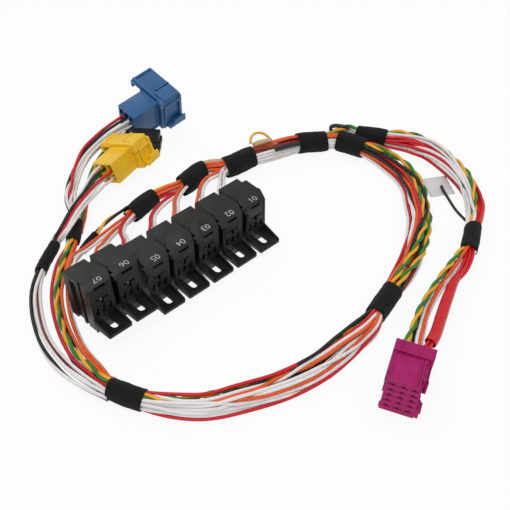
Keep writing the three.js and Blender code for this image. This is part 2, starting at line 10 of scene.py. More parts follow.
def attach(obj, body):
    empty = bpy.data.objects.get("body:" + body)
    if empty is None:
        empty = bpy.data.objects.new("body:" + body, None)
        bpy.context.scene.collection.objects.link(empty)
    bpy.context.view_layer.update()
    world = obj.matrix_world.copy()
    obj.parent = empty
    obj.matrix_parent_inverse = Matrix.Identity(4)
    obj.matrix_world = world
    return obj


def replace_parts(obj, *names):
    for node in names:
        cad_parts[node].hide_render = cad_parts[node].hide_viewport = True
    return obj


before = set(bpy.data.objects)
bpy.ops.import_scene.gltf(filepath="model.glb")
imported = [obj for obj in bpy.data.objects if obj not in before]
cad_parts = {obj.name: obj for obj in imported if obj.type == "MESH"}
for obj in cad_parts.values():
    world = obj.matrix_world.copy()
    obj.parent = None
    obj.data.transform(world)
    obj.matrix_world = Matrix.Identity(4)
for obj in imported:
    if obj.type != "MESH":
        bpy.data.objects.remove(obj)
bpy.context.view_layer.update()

mm = 0.001
rowShift = np.array([0.0, -38.9, 0.0])  # from the front of the first foot to the harness's own origin
wire = {"radius": 1.62, "sides": 10, "step": 2.6, "pairTurn": 38.0, "pairRadius": 1.45}
wireSizes = {"pair": 3.0, "tan": 2.5}  # room that a pair and the thick tan wire take up


def placed(name, data):
    item = bpy.data.objects.new(name, data)
    bpy.context.scene.collection.objects.link(item)
    return item


# Camera

view = {"place": (-0.48894, -0.54815, 0.67082), "turn": (46.18, 0.0, -42.763), "lens": 69.85, "sensor": 36.0}
camera = placed("camera", bpy.data.cameras.new("camera"))
camera.data.lens = view["lens"]
camera.data.sensor_width = view["sensor"]
camera.location = view["place"]
camera.rotation_euler = [math.radians(a) for a in view["turn"]]
bpy.context.scene.camera = camera
print("camera placed")

# Materials

def newGroup(name, inputs, outputs):
    group = bpy.data.node_groups.new(name, "ShaderNodeTree")
    for label, kind, value in inputs:
        socket = group.interface.new_socket(label, in_out="INPUT", socket_type=kind)
        socket.default_value = value
    for label, kind in outputs:
        group.interface.new_socket(label, in_out="OUTPUT", socket_type=kind)
    return group, group.nodes.new("NodeGroupInput"), group.nodes.new("NodeGroupOutput")


def math2(tree, operation, a, b):
    node = tree.nodes.new("ShaderNodeMath")
    node.operation = operation
    for slot, value in zip(node.inputs, (a, b)):
        if isinstance(value, (int, float)):
            slot.default_value = value
        else:
            tree.links.new(value, slot)
    return node.outputs[0]


def mapped(tree, value, low, high, toLow, toHigh):
    node = tree.nodes.new("ShaderNodeMapRange")
    tree.links.new(value, node.inputs["Value"])
    for label, amount in (("From Min", low), ("From Max", high), ("To Min", toLow), ("To Max", toHigh)):
        node.inputs[label].default_value = amount
    return node.outputs["Result"]


def noiseAt(tree, place, scale, detail=3.0):
    node = tree.nodes.new("ShaderNodeTexNoise")
    node.inputs["Detail"].default_value = detail
    tree.links.new(place, node.inputs["Vector"])
    if isinstance(scale, (int, float)):
        node.inputs["Scale"].default_value = scale
    else:
        tree.links.new(scale, node.inputs["Scale"])
    return node.outputs["Fac"]


def grainGroup():  # moulded grain and slow drift of the finish
    group, entry, leave = newGroup(
        "mouldGrain",
        [("Grain Scale", "NodeSocketFloat", 3000.0), ("Drift Scale", "NodeSocketFloat", 60.0)],
        [("Height", "NodeSocketFloat"), ("Drift", "NodeSocketFloat")],
    )
    place = group.nodes.new("ShaderNodeTexCoord").outputs["Object"]
    fine = noiseAt(group, place, entry.outputs["Grain Scale"], 2.0)
    slow = noiseAt(group, place, entry.outputs["Drift Scale"], 3.0)
    group.links.new(fine, leave.inputs["Height"])
    group.links.new(mapped(group, slow, 0.35, 0.65, 0.0, 1.0), leave.inputs["Drift"])
    return group


def edgeGroup():  # painted highlight: lighter colour where a corner sticks out, broken up by noise
    group, entry, leave = newGroup(
        "edgeHighlight", [("Strength", "NodeSocketFloat", 0.5)], [("Mask", "NodeSocketFloat")]
    )
    geometry = group.nodes.new("ShaderNodeNewGeometry")
    place = group.nodes.new("ShaderNodeTexCoord").outputs["Object"]
    corner = mapped(group, geometry.outputs["Pointiness"], 0.52, 0.62, 0.0, 1.0)
    broken = mapped(group, noiseAt(group, place, 900.0), 0.4, 0.62, 0.0, 1.0)
    mask = math2(group, "MULTIPLY", corner, broken)
    group.links.new(math2(group, "MULTIPLY", mask, entry.outputs["Strength"]), leave.inputs["Mask"])
    return group


def weaveGroup():  # plain weave of the cloth tape, laid out along and round the wrap
    group, entry, leave = newGroup(
        "clothWeave",
        [("Threads", "NodeSocketFloat", 2.2)],
        [("Height", "NodeSocketFloat"), ("Fuzz", "NodeSocketFloat")],
    )
    uv = group.nodes.new("ShaderNodeUVMap")
    uv.uv_map = "wrap"
    split = group.nodes.new("ShaderNodeSeparateXYZ")
    group.links.new(uv.outputs["UV"], split.inputs[0])
    waves = []
    for axis in ("X", "Y"):
        turns = math2(group, "MULTIPLY", split.outputs[axis], entry.outputs["Threads"])
        waves.append(math2(group, "SINE", math2(group, "MULTIPLY", turns, 2 * math.pi), 0.0))
    cross = math2(group, "MULTIPLY", waves[0], waves[1])
    fuzz = noiseAt(group, uv.outputs["UV"], 2.6, 4.0)
    group.links.new(math2(group, "ADD", cross, math2(group, "MULTIPLY", fuzz, 1.2)), leave.inputs["Height"])
    group.links.new(fuzz, leave.inputs["Fuzz"])
    return group


mouldGrain, edgeHighlight, clothWeave = grainGroup(), edgeGroup(), weaveGroup()


def startMaterial(name, settings):
    material = bpy.data.materials.new(name)
    material.use_nodes = True
    tree = material.node_tree
    shader = tree.nodes["Principled BSDF"]
    for label, value in settings.items():
        shader.inputs[label].default_value = value
    return material, tree, shader


def placeGroup(tree, group, **values):
    node = tree.nodes.new("ShaderNodeGroup")
    node.node_tree = group
    for label, value in values.items():
        node.inputs[label].default_value = value
    return node


def mixColours(tree, factor, first, second):
    node = tree.nodes.new("ShaderNodeMix")
    node.data_type = "RGBA"
    tree.links.new(factor, node.inputs["Factor"])
    for label, colour in (("A", first), ("B", second)):
        if isinstance(colour, tuple):
            node.inputs[label].default_value = (*colour, 1)
        else:
            tree.links.new(colour, node.inputs[label])
    return node.outputs["Result"]


def bumpFrom(tree, shader, height, distance, strength=1.0):
    bump = tree.nodes.new("ShaderNodeBump")
    bump.inputs["Distance"].default_value = distance
    bump.inputs["Strength"].default_value = strength
    tree.links.new(height, bump.inputs["Height"])
    tree.links.new(bump.outputs["Normal"], shader.inputs["Normal"])


def mouldedPlastic(name, colour, dark, highlitColour, rough, grain, highlightStrength, gloss=0.5):
    material, tree, shader = startMaterial(name, {"Specular IOR Level": gloss})
    finish = placeGroup(tree, mouldGrain, **{"Grain Scale": grain, "Drift Scale": 70.0})
    edges = placeGroup(tree, edgeHighlight, Strength=highlightStrength)
    body = mixColours(tree, finish.outputs["Drift"], dark, colour)
    # painted highlight: corners that stick out are mixed towards a lighter colour
    tree.links.new(mixColours(tree, edges.outputs["Mask"], body, highlitColour), shader.inputs["Base Color"])
    tree.links.new(mapped(tree, finish.outputs["Drift"], 0, 1, rough - 0.05, rough + 0.07), shader.inputs["Roughness"])
    bumpFrom(tree, shader, finish.outputs["Height"], 0.00003, 0.35)
    return material


def driftingFinish(name, settings, grain, drift, shade, colour, rough, bump=None):  # colour and roughness drift
    material, tree, shader = startMaterial(name, settings)
    finish = placeGroup(tree, mouldGrain, **{"Grain Scale": grain, "Drift Scale": drift})
    tree.links.new(mixColours(tree, finish.outputs["Drift"], shade, colour), shader.inputs["Base Color"])
    tree.links.new(mapped(tree, finish.outputs["Drift"], 0, 1, *rough), shader.inputs["Roughness"])
    if bump:
        bumpFrom(tree, shader, finish.outputs["Height"], *bump)
    return material


def insulation(name, colour, shade, rough=0.32):
    return driftingFinish(
        name, {"Specular IOR Level": 0.45}, 1400.0, 110.0, shade, colour, (rough, rough + 0.1), (0.00004, 0.35)
    )


def clothTape():
    material, tree, shader = startMaterial(
        "tapeCloth", {"Specular IOR Level": 0.25, "Sheen Weight": 0.04, "Sheen Roughness": 0.5}
    )
    weave = placeGroup(tree, clothWeave, Threads=2.2)
    tone = mapped(tree, weave.outputs["Fuzz"], 0.35, 0.7, 0.0, 1.0)
    cloth = mixColours(tree, tone, (0.0035, 0.0035, 0.0035), (0.009, 0.009, 0.009))
    tree.links.new(cloth, shader.inputs["Base Color"])
    tree.links.new(mapped(tree, weave.outputs["Fuzz"], 0.3, 0.7, 0.78, 0.95), shader.inputs["Roughness"])
    bumpFrom(tree, shader, weave.outputs["Height"], 0.00012, 0.7)
    return material


# the third colour given to each plastic is its painted highlight on corners that stick out
plastics = {
    "black": mouldedPlastic(
        "blackPlastic", (0.012, 0.0115, 0.011), (0.008, 0.008, 0.0075), (0.04, 0.04, 0.04), 0.42, 2600, 0.5, 0.28
    ),
    "magenta": mouldedPlastic(
        "magentaPlastic", (0.4, 0.009, 0.13), (0.32, 0.006, 0.1), (0.5, 0.03, 0.2), 0.46, 2200, 0.3, 0.22
    ),
    "blue": mouldedPlastic("bluePlastic", (0.012, 0.1, 0.27), (0.009, 0.08, 0.225), (0.1, 0.25, 0.5), 0.4, 2200, 0.5),
    "yellow": mouldedPlastic(
        "yellowPlastic", (0.95, 0.6, 0.008), (0.9, 0.53, 0.006), (0.95, 0.7, 0.2), 0.34, 2200, 0.4
    ),
}
colours = {
    "white": insulation("whiteWire", (0.84, 0.81, 0.805), (0.77, 0.74, 0.73)),
    "red": insulation("redWire", (0.66, 0.006, 0.018), (0.56, 0.004, 0.012)),
    "darkRed": insulation("darkRedWire", (0.3, 0.012, 0.02), (0.24, 0.01, 0.015)),
    "orange": insulation("orangeWire", (0.83, 0.115, 0.018), (0.73, 0.09, 0.013)),
    "yellow": insulation("yellowWire", (0.87, 0.43, 0.02), (0.79, 0.37, 0.015)),
    "green": insulation("greenWire", (0.03, 0.23, 0.03), (0.02, 0.18, 0.025)),
    "black": insulation("blackWire", (0.01, 0.01, 0.01), (0.007, 0.007, 0.007), 0.36),
    "brown": insulation("brownWire", (0.27, 0.045, 0.02), (0.2, 0.03, 0.015)),
    "tan": insulation("amberSleeve", (0.6, 0.42, 0.24), (0.52, 0.34, 0.18), 0.3),
    "dark": insulation("darkSleeve", (0.02, 0.022, 0.026), (0.013, 0.014, 0.017), 0.42),
    "redSleeve": insulation("redSleeve", (0.66, 0.012, 0.02), (0.56, 0.008, 0.014), 0.28),
}
tapeMaterial = clothTape()
tinMaterial = driftingFinish(
    "tinPlate", {"Metallic": 1.0}, 2500.0, 400.0, (0.62, 0.58, 0.52), (0.8, 0.78, 0.74), (0.22, 0.4)
)
print("materials made")

# Lines

def follow(points, start=0.0, end=None, step=wire["step"]):  # centripetal curve through the route's points
    knots = np.array(points, float) + rowShift
    last = len(knots) - 1
    end = last if end is None else end
    padded = np.vstack([2 * knots[0] - knots[1], knots, 2 * knots[-1] - knots[-2]])

    def at(place):
        span = min(max(int(math.floor(place)), 0), last - 1)
        p = padded[span:span + 4]
        gaps = [math.sqrt(np.linalg.norm(p[i + 1] - p[i])) for i in range(3)]
        t = np.cumsum([0.0, *gaps])
        u = t[1] + gaps[1] * (place - span)
        a = [p[i] + (p[i + 1] - p[i]) * (u - t[i]) / gaps[i] for i in range(3)]
        b = [a[i] + (a[i + 1] - a[i]) * (u - t[i]) / (t[i + 2] - t[i]) for i in range(2)]
        return b[0] + (b[1] - b[0]) * (u - t[1]) / gaps[1]

    coarse = np.linspace(start, end, 40 * (int(end - start) + 1))
    line = np.array([at(place) for place in coarse])
    run = np.r_[0, np.cumsum(np.linalg.norm(np.diff(line, axis=0), axis=1))]
    count = max(6, int(round(run[-1] / step)) + 1)
    even = np.linspace(0, run[-1], count)
    places = np.interp(even, run, coarse)
    return np.array([at(place) for place in places]), places, even


def axesAlong(line):
    forward = np.gradient(line, axis=0)
    forward /= np.linalg.norm(forward, axis=1)[:, None]
    across = np.cross([0, 0, 1.0], forward)
    across /= np.linalg.norm(across, axis=1)[:, None]
    return forward, across, np.cross(forward, across)


def steadyAxes(line):  # axes that don't spin along a strand
    forward = np.gradient(line, axis=0)
    forward /= np.maximum(np.linalg.norm(forward, axis=1), 1e-9)[:, None]
    first = np.cross(forward[0], [0.3, 0.2, 1.0])
    side = [first / np.linalg.norm(first)]
    for direction in forward[1:]:
        turned = side[-1] - direction * (side[-1] @ direction)
        side.append(turned / np.linalg.norm(turned))
    side = np.array(side)
    return side, np.cross(forward, side)


def outwardFrom(side, rise, angle):  # directions round a line, for each of its points and each angle
    return np.cos(angle)[None, :, None] * side[:, None] + np.sin(angle)[None, :, None] * rise[:, None]


def ringFaces(count, sides):  # the faces between one ring of points and the next
    faces = []
    for i in range(count - 1):
        for k in range(sides):
            n = (k + 1) % sides
            faces.append((i * sides + k, i * sides + n, (i + 1) * sides + n, (i + 1) * sides + k))
    return faces


def tubeShape(line, radius, sides):
    side, rise = steadyAxes(line)
    angle = np.arange(sides) * 2 * math.pi / sides
    radius = np.broadcast_to(radius, (len(line),))
    rings = line[:, None] + radius[:, None, None] * outwardFrom(side, rise, angle)
    faces = ringFaces(len(line), sides)
    faces.append(tuple(range(sides - 1, -1, -1)))
    base = (len(line) - 1) * sides
    faces.append(tuple(base + k for k in range(sides)))
    return rings.reshape(-1, 3), faces


def makePiece(name, parts, materials):  # parts: points in mm, faces, index of the material
    points, faces, finish, offset = [], [], [], 0
    for partPoints, partFaces, index in parts:
        points.append(np.asarray(partPoints))
        faces += [tuple(offset + v for v in face) for face in partFaces]
        finish += [index] * len(partFaces)
        offset += len(partPoints)
    mesh = bpy.data.meshes.new(name)
    mesh.from_pydata((np.vstack(points) * mm).tolist(), [], faces)
    for material in materials:
        mesh.materials.append(material)
    mesh.polygons.foreach_set("material_index", finish)
    mesh.polygons.foreach_set("use_smooth", [True] * len(faces))
    mesh.update()
    piece = placed(name, mesh)
    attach(piece, "root")
    return piece


# Bundles of wires. A wire is given by its colour, the route point it starts at, and at each route point from there
# its distance across to the left and up from the route, in mm. "pair" is a twisted green and yellow pair.

laying = {
    "rounds": 60, "share": 0.7, "smoothEvery": 12, "aboveGround": 0.3,  # how the wires push each other aside
    "reach": 0.12, "scatter": 0.05, "seed": 3, "smoothing": 14, "after": 16,
    "loose": 4.0, "swellOver": 0.9,  # room to bulge between two tapes, and how soon it opens
    "tapeMouth": 0.25, "mouthRoom": 5,
}


def smooth(values, rounds):
    for _ in range(rounds):
        inner = 0.25 * values[:-2] + 0.5 * values[1:-1] + 0.25 * values[2:]
        values = np.concatenate([values[:1], inner, values[-1:]])
    return values


def settle(offsets, present, radii, limit, height):  # wires push each other aside and stay above the ground
    need = radii[:, None] + radii[None]
    count = len(radii)
    apart = ~np.eye(count, dtype=bool)
    for turn in range(laying["rounds"]):
        gap = offsets[:, :, None] - offsets[:, None]
        far = np.maximum(np.linalg.norm(gap, axis=3), 1e-6)
        both = present[:, :, None] & present[:, None] & apart[None]
        push = np.where(both, np.maximum(need[None] - far, 0), 0) * 0.5
        offsets = offsets + laying["share"] * (gap / far[..., None] * push[..., None]).sum(2)
        reach = np.maximum(np.linalg.norm(offsets, axis=2), 1e-6)
        room = np.maximum(limit[:, None] - radii[None], 0.1)
        offsets = offsets * np.where(reach > room, room / reach, 1.0)[..., None]
        lowest = radii[None] + laying["aboveGround"] - height[:, None]
        offsets[..., 1] = np.maximum(offsets[..., 1], lowest)
        if (turn + 1) % laying["smoothEvery"] == 0:
            offsets = smooth(offsets, 1)
    return offsets


def strandLines(bundle):
    first, last = bundle["span"]
    reach = bundle.get("reach", (laying["reach"], laying["reach"]))
    line, places, run = follow(bundle["route"], first - reach[0], last + reach[1])
    for _ in range(bundle.get("ease", 0)):
        line[1:-4] = 0.25 * line[:-5] + 0.5 * line[1:-4] + 0.25 * line[2:-3]
    across, rise = axesAlong(line)[1:]
    wires = bundle["wires"]
    radii = np.array([wireSizes.get(colour, wire["radius"]) for colour, start, keys in wires])
    offsets = np.zeros((len(line), len(wires), 2))
    present = np.zeros((len(line), len(wires)), bool)
    for w, (colour, start, keys) in enumerate(wires):
        stations = start + np.arange(len(keys))
        keys = np.array(keys, float)
        for c in (0, 1):
            offsets[:, w, c] = np.interp(places, stations, keys[:, c])
        begin = -math.inf if stations[0] <= first else stations[0] + laying["reach"]  # starts inside its tape
        finish = math.inf if stations[-1] >= last else stations[-1] - laying["reach"]
        present[:, w] = (places >= begin) & (places <= finish)
    offsets += np.random.default_rng(laying["seed"]).normal(0, laying["scatter"], (1, len(wires), 2))
    offsets = smooth(offsets, bundle.get("smoothing", laying["smoothing"]))
    share = (places - first) / (last - first)
    inFront = 1 - share if not bundle.get("openEnd") else np.ones_like(share)
    swell = np.clip(np.minimum(share, inFront) * (last - first) / laying["swellOver"], 0, 1)
    limit = bundle["radius"] + bundle.get("loose", laying["loose"]) * swell
    for start, end, room in bundle.get("wrapped", []):  # inside the tapes that the bundle passes
        held = [start - laying["tapeMouth"], start, end, end + laying["tapeMouth"]]
        wide = room + laying["mouthRoom"]
        limit = np.minimum(limit, np.interp(places, held, [wide, room, room, wide]))
    offsets = smooth(settle(offsets, present, radii, limit, line[:, 2]), bundle.get("after", laying["after"]))
    away = np.maximum(np.linalg.norm(offsets, axis=2), 1e-6)
    offsets = offsets * np.minimum(1.0, (limit[:, None] - radii[None]) / away)[..., None]
    lines = []
    for w, (colour, start, keys) in enumerate(wires):
        keep = present[:, w]
        path = line + across * offsets[:, w, :1] + rise * offsets[:, w, 1:]
        lines.append((colour, path[keep], run[keep]))
    return line, lines


def bundlePiece(bundle):
    line, strands = strandLines(bundle)
    names = set()
    for colour, path, run in strands:
        names |= {"green", "yellow"} if colour == "pair" else {colour}
    names = sorted(names)
    parts = []
    for colour, path, run in strands:
        if colour == "pair":
            side, rise = steadyAxes(path)
            turn = (2 * math.pi * run / wire["pairTurn"])[:, None]
            for half, tint in ((0, "green"), (math.pi, "yellow")):
                out = wire["pairRadius"] * (np.cos(turn + half) * side + np.sin(turn + half) * rise)
                parts.append((*tubeShape(path + out, wire["radius"], wire["sides"]), names.index(tint)))
        else:
            radius = wireSizes.get(colour, wire["radius"])
            parts.append((*tubeShape(path, radius, wire["sides"]), names.index(colour)))
    piece = makePiece(bundle["name"], parts, [colours[n] for n in names])
    if not bundle["replaces"]:
        return piece
    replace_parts(piece, *bundle["replaces"])
    return piece


mainRoute = [
    (-222, -40, 10.2), (-209, -70, 10.2), (-180, -106, 10), (-148, -123, 10), (-110, -138, 10), (-74, -144, 10),
    (-45, -143, 10), (-12, -141, 10), (4, -136, 10.2), (41, -125, 10.2), (79, -113, 10), (113, -93, 10),
    (135, -77, 10), (150, -61, 10), (168, -40, 10), (179, -16, 10), (182, 14, 10.4), (177.8, 36.4, 11.2),
    (167.8, 66.5, 11.2),
]
frontBundle = {
    "name": "wiresFront", "replaces": ["bundle_main_front"], "route": mainRoute, "span": (1, 8), "radius": 8.8,
    "loose": 4.5, "across": 19.0,
    "wires": [
        ("red", 1, [(3, 7), (7, 6), (8, 7), (11, 8), (10, 6), (6, 4), (3, 7), (-3, 7)]),
        ("pair", 1, [(0, 6), (7, 4), (8, 5), (8, 5), (10, 4), (11, 4), (9, 4), (7, 1)]),
        ("black", 1, [(3, 3), (4, 4), (6, 5), (10, 6), (11, 8), (10, 6), (10, 4), (4, 6)]),
        ("black", 1, [(6, 3), (6, 3), (7, 2), (8, 3), (9, 3), (10, 2), (8, 1), (6, 3)]),
        ("orange", 1, [(0, 3), (-2, 4), (-1, 7), (7, 5), (5, 5), (0, 7), (-4, 6), (-1, 5)]),
        ("orange", 1, [(-3, 1), (-4, 2), (-5, 5), (-6, 3), (-7, -2), (-7, 1), (-4, 5), (-4, 5)]),
        ("white", 1, [(-3, 7), (-3, 7), (-6, 3), (-7, -3), (-9, -5), (-9, -4), (-7, -2), (-7, -1)]),
        ("white", 1, [(-6, 4), (-6, 3), (-7, -3), (-8, -6), (-10, -6), (-8, -4), (-9, -4), (-8, -3)]),
        ("white", 1, [(-7, -1), (-7, 0), (-7, -5), (-8, -6), (-7, -4), (-6, -5), (-6, -5), (-6, -4)]),
        ("white", 1, [(-3, 4), (-4, 5), (-5, 6), (-2, 6), (-4, 5), (-7, 1), (-7, 2), (-6, 4)]),
        ("white", 1, [(-5, 2), (-5, 4), (-5, 4), (-5, 5), (-5, 3), (-4, 3), (-4, 2), (-4, 2)]),
        ("white", 1, [(3, 5), (1, 7), (2, 7), (6, 5), (7, 6), (3, 6), (0, 7), (-4, 5)]),
        ("red", 1, [(-7, -5), (-8, -6), (-10, -7), (-10, -7), (-11, -6), (-9, -5), (-8, 0), (-7, 2)]),
        ("white", 1, [(0, -3), (2, -3), (0, -2), (2, -3), (0, -3), (0, -2), (1, -3), (0, -3)]),
        ("black", 1, [(4, -4), (5, -3), (4, -4), (5, -3), (4, -3), (5, -4), (4, -4), (4, -4)]),
        ("orange", 1, [(-3, -6), (-2, -6), (-3, -6), (-2, -6), (-3, -6), (-2, -6), (-3, -6), (-3, -6)]),
    ],
}
rightLoop = {
    "name": "wiresLoop", "replaces": ["bundle_main_right"], "route": mainRoute, "span": (9, 17), "radius": 8.8,
    "loose": 4.5, "across": 19.0,
    "wires": [
        ("red", 9, [(7, 4), (10, 3), (8, 1), (9, -1), (9, -1), (9, -4), (8, -5), (6, -6), (5, -6)]),
        ("black", 9, [(7, 1), (7, 3), (1, 7), (-5, 5), (-8, 4), (-5, 6), (1, 7), (4, 6), (4, 6)]),
        ("orange", 9, [(5, 6), (6, 4), (3, 6), (1, 6), (1, 6), (5, 4), (7, -1), (7, -2), (7, -1)]),
        ("white", 9, [(7, 0), (8, 1), (9, 1), (11, 0), (12, -2), (13, -4), (10, -7), (8, -6), (7, -5)]),
        ("white", 9, [(4, 3), (5, 3), (5, 5), (5, 5), (6, 4), (6, -2), (4, -4), (3, -4), (3, -4)]),
        ("black", 9, [(4, 0), (5, 1), (6, 3), (5, 4), (5, 4), (6, 2), (7, 1), (6, 3), (6, 3)]),
        ("red", 9, [(-1, 4), (1, 5), (0, 6), (-2, 6), (-2, 6), (1, 6), (3, 5), (2, 3), (0, 2)]),
        ("pair", 9, [(1, 7), (2, 6), (-3, 6), (-4, 5), (-4, 5), (-2, 6), (-2, 5), (-2, 3), (-2, 2)]),
        ("pair", 9, [(-3, 7), (-6, 5), (-10, 1), (-12, 1), (-12, 3), (-8, 4), (-5, 6), (-1, 7), (-2, 7)]),
        ("orange", 9, [(0, -1), (0, -2), (-1, 0), (-2, 0), (-4, 3), (-7, 4), (-7, 5), (-8, 6), (-6, 6)]),
        ("black", 9, [(-5, 5), (-5, 4), (-7, 3), (-5, 0), (-3, -2), (-3, -3), (-4, -2), (-5, 1), (-5, 1)]),
        ("darkRed", 9, [(-7, 2), (-7, 2), (-6, 0), (-5, -3), (-5, -4), (-5, -4), (-5, -4), (-6, -3), (-6, -2)]),
        ("white", 9, [
            (-8, -1), (-9, -2), (-7, -2), (-7, -4), (-6, -5), (-6, -5), (-6, -5), (-6, -5), (-5, -5),
        ]),
        ("white", 9, [
            (-3, -6), (-4, -6), (-3, -6), (-2, -6), (-1, -6), (-1, -6), (-1, -6), (-1, -7), (-1, -7),
        ]),
        ("white", 9, [(2, -5), (1, -5), (2, -5), (3, -5), (3, -5), (2, -6), (2, -6), (2, -7), (2, -7)]),
        ("orange", 9, [(-4, 0), (-3, 0), (0, 1), (2, 0), (2, 0), (1, -1), (0, 0), (0, 0), (0, -1)]),
    ],
}
rightRoute = [
    (163.6, 80.6, 10.5), (173, 79, 10.3), (182, 76.5, 10.4), (188.5, 69.5, 11.2), (190.6, 58.7, 12), (207.8, 32.6, 12),
    (221, 13, 10.6), (227, -8, 10), (224, -37, 9), (211, -74, 9), (193, -100, 9), (166, -121, 9), (136, -139, 9),
]
rightBundle = {
    "name": "wiresRight", "replaces": ["bundle_fork", "bundle_right"], "route": rightRoute, "span": (0, 11),
    "radius": 7.4, "loose": 6.0, "across": 18.0, "reach": (0.0, 0.12), "wrapped": [(4, 5, 8.8)],
    "wires": [
        ("pair", 0, [
            (-2, 4), (-2, 4), (-2, 5), (0, 5), (2, 5), (5, 5), (6, 8), (10, 9), (11, 9), (8, 6), (-1, 5), (-4, 4),
        ]),
        ("white", 0, [
            (0, 3), (0, 3), (1, 4), (1, 4), (0, 4), (-1, 5), (4, 6), (8, 8), (9, 7), (3, 5), (-5, 2), (-6, 0),
        ]),
        ("white", 0, [
            (2, 0), (2, 0), (3, 0), (1, 1), (-1, 2), (-3, 4), (2, 5), (6, 6), (7, 5), (0, 5), (-5, 1), (-6, 2),
        ]),
        ("red", 4, [(-4, 3), (-5, 3), (0, 6), (6, 4), (7, 3), (8, 4), (7, 2), (1, 6)]),
        ("red", 4, [(-5, 1), (-6, 1), (-4, 4), (4, 3), (6, 1), (7, 4), (8, 3), (3, 6)]),
        ("red", 4, [(-2, 2), (-4, 3), (-4, 3), (2, 3), (5, 3), (6, 3), (5, 2), (4, 4)]),
        ("red", 4, [(-5, 0), (-5, 0), (-6, 0), (-5, 1), (-2, 4), (2, 4), (4, 0), (5, 1)]),
        ("red", 4, [(-5, -5), (-6, -5), (-7, -5), (-7, -5), (-7, -4), (-5, -4), (-5, -2), (-5, -2)]),
        ("white", 0, [
            (-3, 0), (-3, 0), (-3, 1), (-3, -1), (-4, -3), (-4, -4),
            (-4, -4), (-5, 3), (0, 6), (-2, 6), (-3, 5), (-1, 5),
        ]),
        ("white", 0, [
            (-1, -3), (-1, -3), (0, -3), (-1, -4), (-3, -4), (-5, -4),
            (-5, -5), (-6, -2), (-5, 2), (-5, 3), (-6, 0), (-5, 1),
        ]),
        ("white", 4, [(-3, 0), (-3, -1), (-5, -3), (-5, -3), (-6, 1), (-5, 2), (-5, 2), (-5, 2)]),
        ("orange", 4, [(3, 3), (4, 2), (5, 2), (6, 1), (7, 0), (7, 2), (9, 2), (5, 3)]),
        ("white", 4, [(2, -4), (2, -4), (3, -4), (3, -3), (3, -2), (3, -2), (2, -3), (2, -4)]),
        ("black", 4, [(0, 0), (1, 0), (1, -2), (0, -3), (0, -1), (-1, 0), (0, 0), (0, 1)]),
        ("red", 4, [(0, -5), (0, -5), (0, -5), (0, -4), (0, -4), (3, 0), (5, -2), (3, -1)]),
        ("black", 0, [
            (2, -3), (2, -3), (2, -3), (3, -3), (4, -1), (4, -1),
            (4, -2), (4, -3), (4, -3), (2, -4), (-1, -4), (-2, -5),
        ]),
    ],
}
leadRoute = [(134, -139.4, 9), (109, -143, 11), (76, -147, 13), (38, -160, 15), (8, -178, 18), (-21.6, -196, 21)]
plugLead = {
    "name": "wiresPlugLead", "replaces": ["bundle_plug_lead"], "route": leadRoute, "span": (0, 5), "radius": 8.0,
    "loose": 7.0, "across": 16.0, "reach": (0.15, 0.2), "smoothing": 8, "openEnd": True,
    "wires": [
        ("pair", 0, [(-5, 3), (-1, 3), (3, 4), (2, 5), (-2, 4), (-7, 6)]),
        ("black", 0, [(-1, 1), (0, 1), (1, 1), (2, 2), (2, 1), (-1, 0)]),
        ("white", 0, [(2, 1), (4, 0), (5, 0), (5, 0), (3, 2), (5, 8)]),
        ("orange", 0, [(-2, 5), (2, 3), (6, 1), (8, 0), (6, 3), (7, 0)]),
        ("white", 0, [(5, 1), (7, 0), (9, -2), (9, -2), (8, 0), (8, -6)]),
        ("white", 0, [(4, -2), (7, -3), (8, -5), (7, -6), (4, -6), (0, -9)]),
        ("black", 0, [(-2, -2), (-1, -2), (0, -2), (0, -2), (-1, -2), (-7, -2)]),
    ],
}
redRoute = [
    (144, -135.5, 9.2), (126, -147, 10.4), (109, -154, 12), (90, -158.5, 14), (66, -169, 15), (40, -182, 18),
    (16, -194, 21), (-6.6, -200.3, 20.4), (-15.3, -205.3, 21.3),
]
redFeed = {
    "name": "wiresRedFeed", "replaces": ["bundle_red_feed"], "route": redRoute, "span": (0, 8), "radius": 4.0,
    "loose": 1.5, "across": 8.5, "reach": (0.3, 0.35), "smoothing": 4,
    "wires": [
        ("red", 0, [(-4, 2), (-4, 2), (-3, 2), (-1, 2), (-1, 2), (-1, 2), (-1, 2), (-2, 2), (-3, 5)]),
        ("red", 0, [(-1, 2), (-1, 2), (1, 2), (2, 1), (2, 1), (2, 1), (2, 1), (2, 2), (4, 4)]),
        ("red", 0, [(3, 2), (3, 2), (3, 0), (2, -1), (1, -2), (1, -2), (1, -2), (2, -2), (4, -5)]),
        ("red", 0, [(1, -1), (1, -1), (0, -2), (-1, -2), (-2, -1), (-2, -1), (-2, -1), (-2, -2), (-3, -5)]),
    ],
}
busRoute = [
    (158, 75, 11), (130, 93, 11), (106, 101, 12), (80, 109, 12), (44, 114, 12), (26, 126, 11.5), (-9, 123, 11),
    (-23, 128, 10), (-37, 131, 9), (-73, 125, 9),
]
